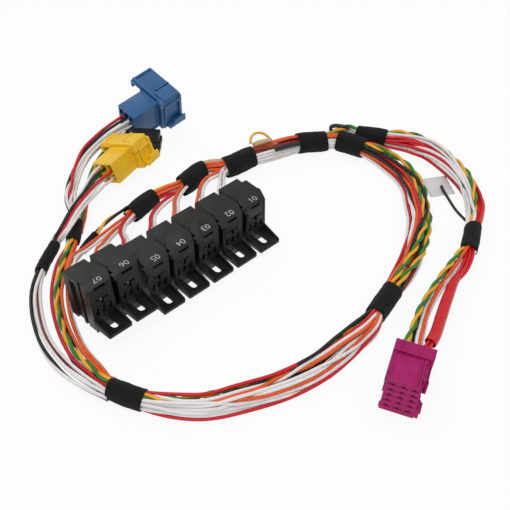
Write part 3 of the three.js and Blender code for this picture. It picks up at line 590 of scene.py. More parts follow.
busBundle = {
    "name": "wiresBus", "replaces": ["bundle_bus_right", "bundle_bus_middle", "bundle_bus_left"], "route": busRoute,
    "span": (0, 9), "radius": 9.2, "loose": 2.5, "across": 18.0, "reach": (0.0, 0.1), "smoothing": 6,
    "wrapped": [(0, 1, 9.8), (3, 4, 10.0), (5, 6, 9.7), (8, 9, 8.0)],
    "wires": [
        ("orange", 0, [(-3, 7), (-5, 7), (-5, 7), (-6, 5), (-3, 6), (-2, 6), (-1, 5), (0, 4), (0, 4), (0, 4)]),
        ("orange", 0, [(-1, 7), (-3, 8), (-4, 7), (-5, 6), (1, 6), (2, 5), (2, 4), (2, 3), (2, 3), (2, 2)]),
        ("orange", 0, [(2, 4), (0, 3), (0, 3), (0, 3), (4, 3), (5, 3), (4, 2)]),
        ("darkRed", 0, [(3, 5), (3, 4), (2, 5), (2, 6), (0, 2), (0, 1), (0, 0), (0, 0), (0, 0), (0, 0)]),
        ("brown", 0, [(4, 4), (4, 4), (3, 5), (1, 7), (-2, 3), (-2, 2)]),
        ("white", 0, [(7, 4), (7, 4), (7, 5), (7, 5), (5, 6)]),
        ("white", 0, [(8, 1), (8, 1), (8, 2), (8, 2), (7, 3)]),
        ("white", 0, [(8, -2), (8, -2), (9, -2), (9, -1), (8, 0)]),
        ("white", 0, [(7, -5), (7, -5), (8, -5), (8, -5), (6, -3), (6, 0), (5, 0)]),
        ("white", 0, [(5, -7), (5, -7), (6, -8), (6, -8), (3, -4), (3, 0), (2, 0), (3, -2), (4, -2), (4, -2)]),
        ("white", 0, [(0, -2), (0, -2), (-1, -2), (-2, -2), (-1, 5), (-1, 4), (0, 3), (1, 2), (1, 2), (1, 1)]),
        ("yellow", 1, [(-6, 0), (-6, 0), (-7, 1), (-6, 5), (-6, 5), (-4, 4), (-3, 4), (-3, 4), (-3, 3)]),
        ("tan", 3.3, [(-4, 5), (-3, 6), (-4, 5)]),
        ("black", 0, [
            (-5, 3), (-5, 3), (-5, 1), (-5, -2), (-7, 1), (-7, 1), (-6, 2), (-6, 1), (-6, 1), (-6, 0),
        ]),
        ("red", 3, [(-1, -6), (0, -3), (1, -3), (3, -2), (5, 0), (5, 0), (5, 0)]),
        ("white", 3, [(2, -6), (0, -6), (-1, -5), (0, -4), (2, -4), (2, -4), (2, -4)]),
    ],
}
outerRoute = [
    (-153, 143, 6.5), (-185, 120, 6.5), (-206, 96, 6), (-229, 50, 6), (-236, 13, 6), (-235, -15, 7),
    (-227.7, -41.9, 8),
]
outerBundle = {
    "name": "wiresOuter", "replaces": ["bundle_outer"], "route": outerRoute, "span": (1, 6), "radius": 4.8,
    "loose": 3.5, "across": 12.0,
    "wires": [
        ("black", 1, [(-2, 3), (-5, 1), (-5, 1), (-5, 0), (-3, -1), (-2, -2)]),
        ("white", 1, [(3, 3), (-1, 4), (-1, 4), (0, 4), (0, 4), (0, 3)]),
        ("white", 1, [(3, 0), (3, 2), (4, 1), (6, 2), (6, 4), (4, 2)]),
        ("white", 1, [(-2, 0), (-2, -1), (-5, -1), (-5, 0), (-4, 1), (-3, 1)]),
        ("darkRed", 1, [(0, -2), (0, -1), (2, -1), (5, -1), (7, 2), (4, -1)]),
        ("brown", 1, [(0, 0), (1, 1), (1, 1), (1, 1), (2, 0), (1, 0)]),
    ],
}
innerRoute = [
    (-119, 153, 8), (-139, 133, 8), (-168, 106, 8), (-190, 80, 7), (-206, 49, 7), (-217, 16, 7), (-220, -12, 8),
    (-219.5, -29.5, 8.6), (-216.6, -36.6, 9),
]
innerBundle = {
    "name": "wiresInner", "replaces": ["bundle_inner"], "route": innerRoute, "span": (1, 8), "radius": 5.8,
    "loose": 4.0, "across": 14.5,
    "wires": [
        ("red", 1, [(-5, 1), (-8, 2), (-8, 1), (-8, -1), (-7, -1), (-5, 0), (-4, 2), (-4, 2)]),
        ("white", 1, [(-4, 1), (-6, 2), (-5, 1), (-5, 0), (-4, -1), (-4, -2), (-3, -2), (-3, -2)]),
        ("pair", 1, [(-1, 4), (-2, 4), (-3, 3), (-4, 2), (-3, 4), (-1, 5), (0, 4), (-1, 4)]),
        ("orange", 1, [(3, 3), (2, 4), (1, 4), (1, 4), (3, 3), (4, 2), (2, 4), (2, 3)]),
        ("orange", 1, [(3, 1), (5, 1), (7, 0), (6, 1), (7, 2), (7, 2), (6, 3), (2, 1)]),
        ("white", 1, [(2, -2), (4, -2), (7, -3), (8, -1), (9, 1), (8, 2), (6, 1), (3, -1)]),
        ("black", 1, [(-1, -1), (-1, -2), (-3, -3), (-5, -3), (-7, -3), (-7, -2), (-4, 0), (-3, 0)]),
        ("black", 1, [(0, -3), (1, -3), (0, -3), (0, -3), (1, -3), (0, -4), (0, -3), (0, -3)]),
    ],
}
yellowRoute = [
    (-162, 137, 6.8), (-150, 145, 8.8), (-144.5, 143.5, 14), (-137, 143.5, 18.4), (-126, 147.5, 20), (-108, 158, 20),
    (-90, 168, 20), (-71, 178.8, 20.8), (-60.2, 182.2, 21.4),
]
yellowLead = {
    "name": "wiresYellowPlug", "replaces": ["bundle_yellow_plug"], "route": yellowRoute, "span": (0, 8), "radius": 5.0,
    "loose": 6.0, "across": 15.0, "reach": (0.0, 0.45), "smoothing": 4, "openEnd": True, "after": 2,
    "wires": [
        ("black", 0, [(-1, 3), (-1, 3), (1, 3), (3, 3), (5, 4), (5, 4), (5, 5), (3, 6), (0, 6)]),
        ("white", 0, [(2, 1), (2, 1), (3, 1), (4, 1), (5, 2), (6, 4), (7, 4), (8, 5), (8, 6)]),
        ("red", 0, [(0, 0), (0, 0), (1, 1), (2, 1), (3, 3), (3, 4), (2, 2), (-3, 3), (-8, 5)]),
        ("white", 0, [(-2, -1), (-2, -1), (-2, -1), (-2, 1), (0, 3), (0, 3), (-1, 1), (-2, -2), (0, -5)]),
        ("white", 0, [(-2, -3), (-2, -3), (-2, -3), (-3, 2), (-2, 2), (-2, 1), (-3, -3), (-7, -4), (-8, -5)]),
        ("green", 0, [(2, -2), (2, -2), (3, -2), (3, -1), (3, 0), (3, 0), (4, 0), (6, -3), (8, -5)]),
    ],
}
blueRoute = [
    (-128, 145, 8), (-120.4, 154.5, 8.2), (-114, 163, 8.2), (-104, 185, 8), (-88, 203, 8), (-52, 230, 10),
    (-22, 237, 14), (9, 236.8, 19.2),
]
blueLead = {
    "name": "wiresBluePlug", "replaces": ["bundle_blue_plug"], "route": blueRoute, "span": (0, 7), "radius": 5.5,
    "loose": 7.0, "across": 17.0, "reach": (0.0, 0.25), "smoothing": 5, "openEnd": True, "after": 2,
    "wires": [
        ("white", 0, [(2, 3), (2, 3), (3, 4), (4, 4), (3, 3), (1, 3), (0, 5), (-4.5, 8)]),
        ("white", 0, [(-3, 0), (-3, 0), (-3, 1), (-4, 2), (-4, 1), (-3, 2), (-3, 3), (-6, 1)]),
        ("white", 0, [(1, 1), (1, 1), (1, 1), (0, 2), (0, 1), (0, 1), (0, 1), (0, 0)]),
        ("black", 0, [(3, 0), (3, 0), (4, 0), (5, 1), (5, 2), (4, 4), (3, 7), (1, 9)]),
        ("red", 0, [(0, -1), (0, -1), (-1, 0), (0, 1), (2, 4), (5, 6), (7, 7), (6.5, 9)]),
        ("black", 0, [(0, -2), (0, -2), (1, -2), (2, -2), (2, -2), (2, -1), (1, -3), (-4.5, -7)]),
        ("white", 0, [(-2, -2), (-2, -2), (-2, -2), (-2, -2), (-2, -2), (-2, -2), (1, -3), (3, -6)]),
    ],
}
blackRoute = [
    (-126, 140, 6.4), (-115.6, 150.3, 6.4), (-109, 156.9, 6), (-94, 174, 5), (-72, 196, 5), (-48, 215, 7),
    (-14, 227, 10.5), (-1.8, 221.2, 12.5),
]
blackLead = {
    "name": "wiresBlackPlug", "replaces": ["bundle_black_plug"], "route": blackRoute, "span": (0, 7), "radius": 4.2,
    "loose": 2.5, "across": 8.5, "reach": (0.0, 0.0), "smoothing": 4,
    "wires": [
        ("green", 0, [(0, 2), (0, 2), (1, 2), (2, 1), (3, 1), (2, 2), (1, 3), (0, 4)]),
        ("yellow", 0, [(2, 1), (2, 1), (3, 1), (4, 0), (1, 2), (0, 2), (-1, 1), (0, 0)]),
        ("orange", 0, [(-1, 1), (-1, 1), (-2, 0), (-1, 0), (-1, 0), (-2, 0), (-2, -1), (0, -4)]),
    ],
}
pairRoute = [(-74.6, 136.4, 7), (-96, 133, 8), (-116, 126, 8), (-138, 117, 7), (-147.8, 112.9, 6.6)]
pairBundle = {
    "name": "wiresPair", "replaces": ["bundle_pair"], "route": pairRoute, "span": (0, 4), "radius": 3.6, "loose": 0.5,
    "across": 7.0, "reach": (0.3, 0.6), "smoothing": 3,
    "wires": [
        ("black", 0, [(0, 2), (0, 2), (-1, 1), (-1, 1), (0, 1)]),
        ("yellow", 0, [(-2, -1), (-1, 2), (1, 1), (1, 1), (0, -1)]),
    ],
}

linkBundle = {  # the short stretch between the two tapes at the fork
    "name": "wiresLink", "replaces": [], "span": (0, 5), "radius": 9.0, "loose": 1.5, "across": 18.0, "reach": (0, 0),
    "route": [(140, 86, 11), (150, 80, 11), (160, 73.5, 11.2), (166, 68, 11.2), (172, 54, 11.2), (177, 40, 11)],
    "smoothing": 2,
    "wires": [
        ("green", 0, [(4, 6)] * 6), ("orange", 0, [(1, 7)] * 6), ("orange", 0, [(-2, 7)] * 6),
        ("yellow", 0, [(6, 3)] * 6), ("white", 0, [(-5, 4)] * 6), ("white", 0, [(-7, 1)] * 6),
        ("white", 0, [(-7, -2)] * 6), ("white", 0, [(-6, -5)] * 6), ("white", 0, [(-3, -6)] * 6),
        ("white", 0, [(-2, 2)] * 6), ("black", 0, [(2, 2)] * 6), ("black", 0, [(5, -3)] * 6),
    ],
}

bundles = [
    frontBundle, rightLoop, rightBundle, plugLead, redFeed, busBundle, outerBundle, innerBundle, yellowLead, blueLead,
    blackLead, pairBundle,
]

# Sleeves and the small wire loop

sleeveRoutes = {
    "clear": [(83, 112, 23.6), (93, 109, 24), (103, 105.5, 23.6)],
    "dark": [(98, 93.6, 19.6), (112, 89.4, 19.6), (125, 84, 19.2)],
    "splice": [(168.5, 79, 18), (171.5, 81.8, 19), (177.5, 80.5, 18.6), (182.5, 75, 18.2), (186, 68.5, 18.4)],
}
tubing = {"sides": 28, "step": 1.0, "tuck": 5, "wrinkle": 0.03, "seed": 5}  # tuck: rings of the end seen from inside
redSleeve = {
    "name": "sleeveRed", "node": "sleeve_red", "route": redRoute, "span": (2.7, 6.35), "wall": 0.6, "on": redFeed,
    "radii": (3.9, 4.9, 5.3, 5.3, 5.3, 5.4, 5.6), "material": colours["redSleeve"], "slot": "red_sleeve",
}
pairSleeve = {
    "name": "sleevePair", "node": "sleeve_pair", "route": pairRoute, "span": (2, 3), "wall": 0.8, "on": pairBundle,
    "radii": (4.2, 4.5, 4.5, 4.4, 4.3), "material": tapeMaterial, "slot": "black_sleeve",
}
amberSleeve = {
    "name": "sleeveAmber", "node": "sleeve_clear", "route": sleeveRoutes["clear"], "span": (0, 2), "wall": 0.5,
    "radii": (2.5, 2.7, 2.7, 2.6), "material": colours["tan"], "slot": "clear_sleeve", "on": busBundle,
}
darkSleeve = {
    "name": "sleeveDark", "node": "sleeve_dark", "route": sleeveRoutes["dark"], "span": (0, 2), "wall": 0.5,
    "radii": (1.9, 2.6, 2.7, 2.7, 2.6), "material": colours["dark"], "slot": "black_sleeve", "on": busBundle,
}
spliceSleeve = {
    "name": "sleeveSplice", "node": "sleeve_splice", "route": sleeveRoutes["splice"], "span": (0, 4), "wall": 0.5,
    "radii": (2.0, 2.2, 2.2, 2.2, 2.1), "material": colours["dark"], "slot": "black_sleeve", "on": rightBundle,
}


def sleevePiece(sleeve):
    line, _, run = follow(sleeve["route"], *sleeve["span"], tubing["step"])
    share = run / run[-1]
    radius = np.interp(share, np.linspace(0, 1, len(sleeve["radii"])), sleeve["radii"])
    sides = tubing["sides"]
    angle = np.arange(sides) * 2 * math.pi / sides
    phase = np.random.default_rng(tubing["seed"]).uniform(0, 6.28, 3)
    wrinkle, along = tubing["wrinkle"], share[:, None]
    ripple = 1 + wrinkle * np.sin(2 * angle[None] + phase[0] + 5 * along)
    ripple = ripple + wrinkle * 0.5 * np.sin(3 * angle[None] + phase[1] + 9 * along)
    outward = outwardFrom(*steadyAxes(line), angle)
    outer = line[:, None] + outward * (radius[:, None] * ripple)[..., None]
    inner = line[:, None] + outward * (radius[:, None] * ripple - sleeve["wall"])[..., None]
    grid = np.concatenate([inner[tubing["tuck"] - 1::-1], outer, inner[:-tubing["tuck"] - 1:-1]])
    piece = makePiece(sleeve["name"], [(grid.reshape(-1, 3), ringFaces(len(grid), sides), 0)], [sleeve["material"]])
    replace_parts(piece, sleeve["node"])
    return piece


for sleeve in (redSleeve, pairSleeve, amberSleeve, darkSleeve, spliceSleeve):
    sleeve["on"].setdefault("with", []).append(sleevePiece(sleeve))

wireLoop = {
    "route": [(82.5, 115.8, 23.6), (87, 119.5, 27.5), (94.5, 120, 29), (101, 115.6, 27.5), (104.2, 109.2, 23.6)],
    "radius": 1.35, "sides": 12, "step": 1.2,
}
loopLine = follow(wireLoop["route"], 0, 4, wireLoop["step"])[0]
loop = makePiece("wireLoop", [(*tubeShape(loopLine, wireLoop["radius"], wireLoop["sides"]), 0)], [colours["yellow"]])
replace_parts(loop, "wire_loop")
print("sleeves fitted")

busBundle["with"] = [bundlePiece(linkBundle), loop, *busBundle["with"]]
for bundle in bundles:
    bundlePiece(bundle)
print("bundles laid")

# Drops into the backs of the sockets

row = {"pitch": 30.0, "foot": 25.7, "front": 3.15, "rear": 62.6, "base": 6.0, "height": 42.0, "level": 5, "count": 7}
raised = {"tilt": -7.6, "lift": 9.6, "back": 1.6, "aside": -0.9}
entry = {"x": 12.85, "gap": 0.4, "z": 18.0, "before": (1.2, 8, 1.5)}


def socketPoint(index, x, y, z):  # from a socket's own corner to the harness
    point = np.array([x - row["foot"] / 2 - index * row["pitch"], y - row["front"], z + row["base"]])
    if index >= row["level"]:
        pivot = np.array([-(row["level"] + 0.5) * row["pitch"], row["rear"] / 2, row["base"] + row["height"] / 2])
        tilt = math.radians(raised["tilt"])
        turn = np.array([[1, 0, 0], [0, math.cos(tilt), -math.sin(tilt)], [0, math.sin(tilt), math.cos(tilt)]])
        point = turn @ (point - pivot) + pivot + [raised["aside"], raised["back"], raised["lift"]]
    return point


dropBends = [
    [(62, 110, 13), (44, 111, 13), (27, 99, 19), (15, 84, 25)],
    [(52, 110, 11), (36, 108, 14), (12, 104, 20), (-8, 91, 26), (-19, 78, 29)],
    [(4, 121, 13), (-8, 117, 14), (-28, 104, 20), (-43, 89, 26), (-51, 76, 29)],
    [(2, 120, 10), (-17, 115, 12), (-51, 104, 20), (-73, 89, 26), (-80, 76, 29)],
    [(-60, 126, 10), (-76, 121, 11), (-94, 108, 18), (-107, 93, 25), (-111, 78, 29)],
    [(-60, 125, 7), (-80, 120, 7), (-104, 112, 11), (-130, 92, 24), (-142, 79, 36)],
    [(-62, 127, 5), (-82, 126, 5), (-110, 118, 9), (-146, 101, 22), (-166, 86, 36)],
]
dropColours = [
    ("white", "white", "white"), ("orange", "white", "white"), ("orange", "white", "white"), ("red", "white", "white"),
    ("red", "white", "white"), ("orange", "white", "white"), ("orange", "white", "white"),
]
dropSpread = [((-2, 2), (-6.4, 4.5)), ((2, 1), (0, 6)), ((-1, -2.4), (6.4, -4.5))]  # at the tape, in the chamber
for index, bends in enumerate(dropBends):
    seat = socketPoint(index, entry["x"], row["rear"] + entry["gap"], entry["z"])
    drop = {
        "name": f"wiresDrop{index + 1}", "replaces": [f"drop_{index + 1}"],
        "route": [*bends, tuple(seat + entry["before"]), tuple(seat)], "span": (0, len(bends) + 1), "radius": 9.6,
        "loose": 0.0, "across": 12.0, "reach": (0.0, 0.4), "smoothing": 8, "ease": 12,
        "wires": [
            (colour, 0, [loose] * len(bends) + [tight] * 2)
            for colour, (loose, tight) in zip(dropColours[index], dropSpread)
        ],
    }
    bundlePiece(drop)
print("drops laid")

# Tape wraps

tape = {
    "around": 72, "step": 0.9, "wall": 1.0, "pitch": 11.0, "lap": 0.34, "steep": 6, "inside": 6.0, "lip": 0.55,
    "lobes": 0.02, "roll": 0.03, "rollOver": 1.2, "slant": 0.8, "slantOver": 7, "aboveGround": 0.15,
}
tapeWaves = ((3, 1, 0.6, 1.0), (5, 2, -1.0, 0.6), (2, 3, 1.7, 0.5))  # lobes round, phase, twist along, share


def wrapPiece(name, route, start, end, radii, seed):
    line, _, run = follow(route, start, end, tape["step"])
    forward, across, rise = axesAlong(line)
    phase = np.random.default_rng(seed).uniform(0, 2 * math.pi, 6)
    angle = np.arange(tape["around"] + 1) * 2 * math.pi / tape["around"]
    share = (run / run[-1])[:, None]
    base = np.interp(share[:, 0], np.linspace(0, 1, len(radii)), radii)[:, None]
    turns = run[:, None] / tape["pitch"] + angle[None] / (2 * math.pi) + phase[0]
    saw = turns - np.floor(turns)
    lap = tape["lap"] * (1 - np.clip(saw * tape["steep"], 0, 1) + saw * 0.5)
    drift = 2 * math.pi * share
    bulge = 1.0
    for lobes, which, twist, part in tapeWaves:
        bulge = bulge + part * tape["lobes"] * np.sin(lobes * angle[None] + phase[which] + twist * drift)
    ends = (share * run[-1], (1 - share) * run[-1])  # how far each ring is from the two ends
    endRoll, shift = 1.0, 0.0
    for away, offset in zip(ends, phase[4:]):
        endRoll = endRoll - tape["roll"] * np.exp(-(away / tape["rollOver"]) ** 2)
        shift = shift + np.exp(-away / tape["slantOver"]) * np.sin(angle[None] + offset) * tape["slant"]
    radius = base * bulge * endRoll + lap
    outward = outwardFrom(across, rise, angle)
    outer = line[:, None] + outward * radius[..., None] + forward[:, None] * shift[..., None]
    outer[..., 2] = np.maximum(outer[..., 2], tape["aboveGround"])
    lips = []  # the rings turned in at the two ends
    for edge, inward in ((0, 1), (-1, -1)):
        rim = []
        for k in range(max(2, int(tape["inside"] / tape["step"])) - 1):
            i = edge + inward * k
            wall = tape["wall"] * (tape["lip"] if k == 0 else 1.0)
            rim.append(line[i] + outward[i] * (radius[i] - wall)[:, None] + forward[i] * shift[i][:, None])
        lips.append(np.array(rim))
    grid = np.concatenate([lips[0][::-1], outer, lips[1]])
    ring = tape["around"]
    points = grid[:, :ring].reshape(-1, 3)
    faces = ringFaces(len(grid), ring)
    piece = makePiece(name, [(points, [f[::-1] for f in faces], 0)], [tapeMaterial])
    layer = piece.data.uv_layers.new(name="wrap")
    along = np.r_[np.zeros(len(lips[0])), run, np.full(len(lips[1]), run[-1])]
    mean = float(np.mean(radii))
    for polygon, face in zip(piece.data.polygons, faces):
        for corner, vertex in zip(polygon.loop_indices, face[::-1]):
            k = vertex % ring
            last = face[1] % ring == 0 and k == 0
            layer.data[corner].uv = (along[vertex // ring], (ring if last else k) / ring * 2 * math.pi * mean)
    return piece


wraps = [
    ("tapeWrapA", "tape_a", busRoute, 3, 4, (11.2, 11.7, 11.4)),
    ("tapeWrapB", "tape_b", busRoute, 5, 6, (11.0, 11.4, 10.9)),
    ("tapeWrapC", "tape_c", busRoute, 8, 9, (9.0, 9.8, 9.4)),
    ("tapeWrapE", "tape_e", outerRoute, 0, 1, (5.6, 5.9, 5.8)),
    ("tapeWrapF", "tape_f", innerRoute, 0, 1, (6.2, 6.8, 7.2)),
    ("tapeWrapG", "tape_g", mainRoute, 0, 1, (9.6, 9.9, 9.8)),
    ("tapeWrapH", "tape_h", mainRoute, 8, 9, (9.7, 9.9, 9.8)),
    ("tapeWrapI", "tape_i", busRoute, 0, 1, (10.9, 11.3, 11.1)),
    ("tapeWrapJ", "tape_j", mainRoute, 17, 18, (10.8, 11.3, 11.4)),
    ("tapeWrapK", "tape_k", rightRoute, 4, 5, (10.0, 10.3, 9.9)),
    ("tapeWrapL", "tape_l", rightRoute, 11, 12, (8.4, 8.6, 8.6)),
]
for seed, (name, node, route, start, end, radii) in enumerate(wraps):
    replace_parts(wrapPiece(name, route, start, end, radii, seed + 11), node)
print("tape wound")

# Label

labelRoute = [(199, -54, 2.4), (195, -60, 2.4), (190, -69, 2.6), (178, -90, 4.5), (169.6, -108.4, 7.7)]
label = {
    "place": (200, -52), "turn": 59.0, "length": 30.0, "near": -11.0, "width": 27.0, "thick": 0.35, "low": 0.5,
    "curl": 1.4, "columns": 30, "rows": 16, "leadRadius": 1.5, "leadSides": 10,
}


def labelPiece():
    columns, rows = label["columns"], label["rows"]
    column = rows + 1
    turn = math.radians(label["turn"])
    points = []
    for layer in (0, 1):
        for i in range(columns + 1):
            for k in range(rows + 1):
                x = (i / columns - 0.5) * label["length"]
                y = label["near"] + k / rows * label["width"]
                z = label["curl"] * (k / rows) ** 3 * math.sin(math.pi * i / columns) - label["thick"] * (layer - 0.5)
                points.append((
                    label["place"][0] + x * math.cos(turn) - y * math.sin(turn),
                    label["place"][1] + x * math.sin(turn) + y * math.cos(turn) + rowShift[1],
                    label["low"] + z,
                ))
    size = (columns + 1) * column
    faces = []
    for i in range(columns):
        for k in range(rows):
            a, b = i * column + k, (i + 1) * column + k
            faces.append((a, b, b + 1, a + 1))
            faces.append((size + a + 1, size + b + 1, size + b, size + a))
    edge = list(range(column)) + [i * column + rows for i in range(1, columns + 1)]
    edge += [columns * column + k for k in range(rows - 1, -1, -1)]
    edge += [i * column for i in range(columns - 1, 0, -1)]
    for a, b in zip(edge, edge[1:] + edge[:1]):
        faces.append((a, b, size + b, size + a))
    film = driftingFinish(
        "labelFilm", {"Specular IOR Level": 0.5}, 500.0, 90.0, (0.66, 0.64, 0.66), (0.74, 0.72, 0.745), (0.3, 0.45),
        (0.0002, 0.25),
    )
    piece = makePiece("labelFlag", [(points, faces, 0)], [film])
    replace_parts(piece, "label_flag")
    return piece


labelFlag = labelPiece()
leadLine = follow(labelRoute, 0, 4, 2.0)[0]
labelLead = makePiece(
    "labelLead", [(*tubeShape(leadLine, label["leadRadius"], label["leadSides"]), 0)], [colours["black"]]
)
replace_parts(labelLead, "label_lead")
print("label hung")

# Housings: the CAD solids with softened edges

housings = {
    "plug_15way_housing": ("magenta", 0.25), "plug_15way_collar": ("magenta", 0.25),
    "plug_blue_housing": ("blue", 0.35), "plug_blue_slide": ("blue", 0.3),
    "plug_yellow_housing": ("yellow", 0.35), "plug_yellow_slide": ("yellow", 0.3),
    "plug_black_housing": ("black", 0.35),
}
for index in range(row["count"]):
    housings[f"relay_socket_{index + 1}"] = ("black", 0.3)
softening = {"weld": 0.00001, "flat": 1.0, "segments": 2, "sharp": 32}  # metres, degrees, count, degrees


def roundEdges(piece, width, sharp=None):  # a small bevel, applied
    bevel = piece.modifiers.new("soft", "BEVEL")
    bevel.width = width * mm
    bevel.segments = softening["segments"]
    bevel.harden_normals = True
    if sharp:
        bevel.limit_method = "ANGLE"
        bevel.angle_limit = math.radians(sharp)
    graph = bpy.context.evaluated_depsgraph_get()
    piece.data = bpy.data.meshes.new_from_object(piece.evaluated_get(graph), depsgraph=graph)
    piece.modifiers.clear()


def softened(node, finish, width):
    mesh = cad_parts[node].data.copy()
    mesh.materials.clear()
    mesh.materials.append(plastics[finish])
    solid = bmesh.new()
    solid.from_mesh(mesh)
    bmesh.ops.remove_doubles(solid, verts=solid.verts, dist=softening["weld"])
    bmesh.ops.dissolve_limit(
        solid, angle_limit=math.radians(softening["flat"]), verts=solid.verts, edges=solid.edges
    )
    solid.to_mesh(mesh)
    solid.free()
    for polygon in mesh.polygons:
        polygon.use_smooth = True
    piece = placed(node.replace("_", "-") + "-soft", mesh)
    roundEdges(piece, width, softening["sharp"])
    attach(piece, "root")
    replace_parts(piece, node)
    return piece


for node, (finish, width) in housings.items():
    softened(node, finish, width)
print("housings softened")

# Moulded details on the plugs: ribs, frames and bosses, and painted shade in the magenta plug's keyholes

def boxShape(low, high, place):
    corners = [(x, y, z) for z in (low[2], high[2]) for y in (low[1], high[1]) for x in (low[0], high[0])]
    faces = [(0, 2, 3, 1), (4, 5, 7, 6), (0, 1, 5, 4), (2, 6, 7, 3), (0, 4, 6, 2), (1, 3, 7, 5)]
    return [place(*corner) + rowShift for corner in corners], faces


plugPlaces = {
    "blue": {"at": (45.8, 240.2, 7.6), "turn": (9.8, -7.0, 0.0)},
    "yellow": {"at": (-27.6, 187.3, 11.0), "turn": (-20.3, -0.7, 16.0)},
    "magenta": {"at": (-63.4, -220.4, 8.5), "turn": (-5.8, -5.6, 210.0)},
}


def plugPoint(plug, x, y, z):
    roll, tip, yaw = (math.radians(a) for a in plugPlaces[plug]["turn"])
    turn = Matrix.Rotation(yaw, 3, "Z") @ Matrix.Rotation(tip, 3, "Y") @ Matrix.Rotation(roll, 3, "X")
    return np.array(turn @ Vector((x, y, z))) + plugPlaces[plug]["at"]


def mouldedBoxes(name, plug, boxes, material, edge=0.35):
    piece = makePiece(name, [(*boxShape(low, high, partial(plugPoint, plug)), 0) for low, high in boxes], [material])
    roundEdges(piece, edge)
    return piece


def flangedDetails(plug, size):  # for the blue and yellow plugs, from the sizes of their housings
    near = -size["width"] / 2 - size["near"]
    top, long, back = size["height"] + 2.4, size["head"], -size["length"]
    far = size["width"] / 2 + size["near"] + size["far"]
    half = size["width"] / 2
    boxes = [
        ((4.6, near + 0.4, top - 0.2), (long - 2.4, -1.6, top + 1.5)),  # raised cover on the near half
        ((8.0, -0.2, top - 0.2), (long - 1.2, 1.8, top + 1.9)),  # rib beyond the groove
        ((3.2, far - 2.4, top - 0.2), (long - 2, far, top + 1.2)),
        ((-1.8, near - 1.2, top - 8.5), (3.6, near + 4.6, top + 1.9)),  # lug at the rear corner
        ((long - 3.4, near - 1.5, 4.0), (long - 0.2, near + 0.8, top - 3)),
        ((4.4, near - 1.3, top - 10.5), (long - 3.3, near + 0.5, top - 7.6)),
        ((3.8, near - 1.3, 3.4), (6.4, near + 0.5, top - 10.2)),
        ((long * 0.26, near - 4.6, -3.2), (long + 2.2, near + 1.0, 1.2)),  # foot clip
        ((long * 0.5, near - 4.6, 0.9), (long + 2.2, near - 2.2, 5.4)),
        ((back, -half - 0.7, -0.2), (back + 1.8, -half + 0.2, size["height"] - 0.4)),
        ((-4.2, -half - 0.9, 0.6), (-0.2, half * 0.9, size["height"] + 0.7)),
        ((back + 3, -half - 0.7, -0.3), (-2, -half + 0.3, 2.2)),
    ]
    for along, aside in ((7, 0.05), (12, 0.4), (12, -0.3)):
        x, y = back + along, half * aside
        boxes.append(((x, y, size["height"] - 0.3), (x + 1.8, y + 1.8, size["height"] + 0.4)))
    mouldedBoxes(f"{plug}PlugDetails", plug, boxes, plastics[plug])


flangedDetails("blue", {"length": 34.4, "width": 26.5, "height": 36.5, "head": 28, "near": 5.2, "far": 13})
flangedDetails("yellow", {"length": 32.4, "width": 27.6, "height": 23.3, "head": 24, "near": 5.5, "far": 8.5})

magentaPlug = {
    "length": 47.0, "width": 29.3, "height": 36.0, "columnStep": 9.3, "rowStep": 6.3, "deep": 1.6, "shadeRadius": 1.35,
    "shadeSides": 12, "shadeRise": 0.65, "shadeFrom": -5.5, "shadeTo": -0.5, "half": (3.3, 0.6),
}


def magentaDetails():
    long, half, high = magentaPlug["length"], magentaPlug["width"] / 2, magentaPlug["height"]
    boxes = [
        ((-33.6, half - 5.9, high - 1.2), (-1.5, half - 4.5, high + 0.9)),  # ribs beside the panel
        ((-33.6, -half + 0.1, high - 1.2), (-5, -half + 1.4, high + 0.7)),
        ((-33.6, half - 2.4, high - 5.2), (-12, half + 1.2, high - 1.6)),
        ((-34.0, half + 1.4, 20.0), (-15, half + 4.2, 22.2)),  # arm and its stops
        ((-20.0, half - 0.6, 15.5), (-15.6, half + 4.4, 27.0)),
        ((-12.5, half - 0.6, 0.6), (-0.6, half + 3.6, 3.4)),
        ((-12.5, half - 0.6, 5.6), (-1.4, half + 4.6, 8.6)),
        ((-16.0, half - 0.6, 10.5), (-3.0, half + 1.6, 12.5)),
        ((-3.4, -half - 1.0, 1.5), (-0.3, -half + 0.3, 5.5)),
        ((-long + 3, -half - 0.45, 0.3), (-34.5, half + 0.45, high - 0.3)),  # closes the slit under the collar
        ((-36.0, -half - 1.3, 6.0), (-14.0, -half + 0.3, high - 1.4)),
        ((-long - 0.9, half - 9.0, high + 1.5), (-36, half - 7.2, high + 2.6)),
        ((-long - 0.9, -half + 3.4, high + 1.5), (-36, -half + 5.0, high + 2.6)),
    ]
    mouldedBoxes("magentaPlugDetails", "magenta", boxes, plastics["magenta"], 0.3)
    # painted shade: a black keyhole-shaped filler just inside each keyhole stands in for the shadowed depth of the
    # cavity
    keyholeShade = []
    for column in (-1, 0, 1):
        for level in range(-2, 3):
            y = column * magentaPlug["columnStep"]
            z = high / 2 + level * magentaPlug["rowStep"]
            ends = [
                plugPoint("magenta", x, y, z + magentaPlug["shadeRise"]) + rowShift
                for x in (magentaPlug["shadeFrom"], magentaPlug["shadeTo"])
            ]
            keyholeShade.append((*tubeShape(np.array(ends), magentaPlug["shadeRadius"], magentaPlug["shadeSides"]), 0))
            wide, thick = magentaPlug["half"]
            low, top = (magentaPlug["shadeFrom"], y - wide, z - thick), (-magentaPlug["deep"], y + wide, z + thick)
            keyholeShade.append((*boxShape(low, top, partial(plugPoint, "magenta")), 0))
    piece = makePiece("magentaKeyholeShade", keyholeShade, [colours["black"]])


magentaDetails()


# Terminals in the sockets, and a plain number on each top

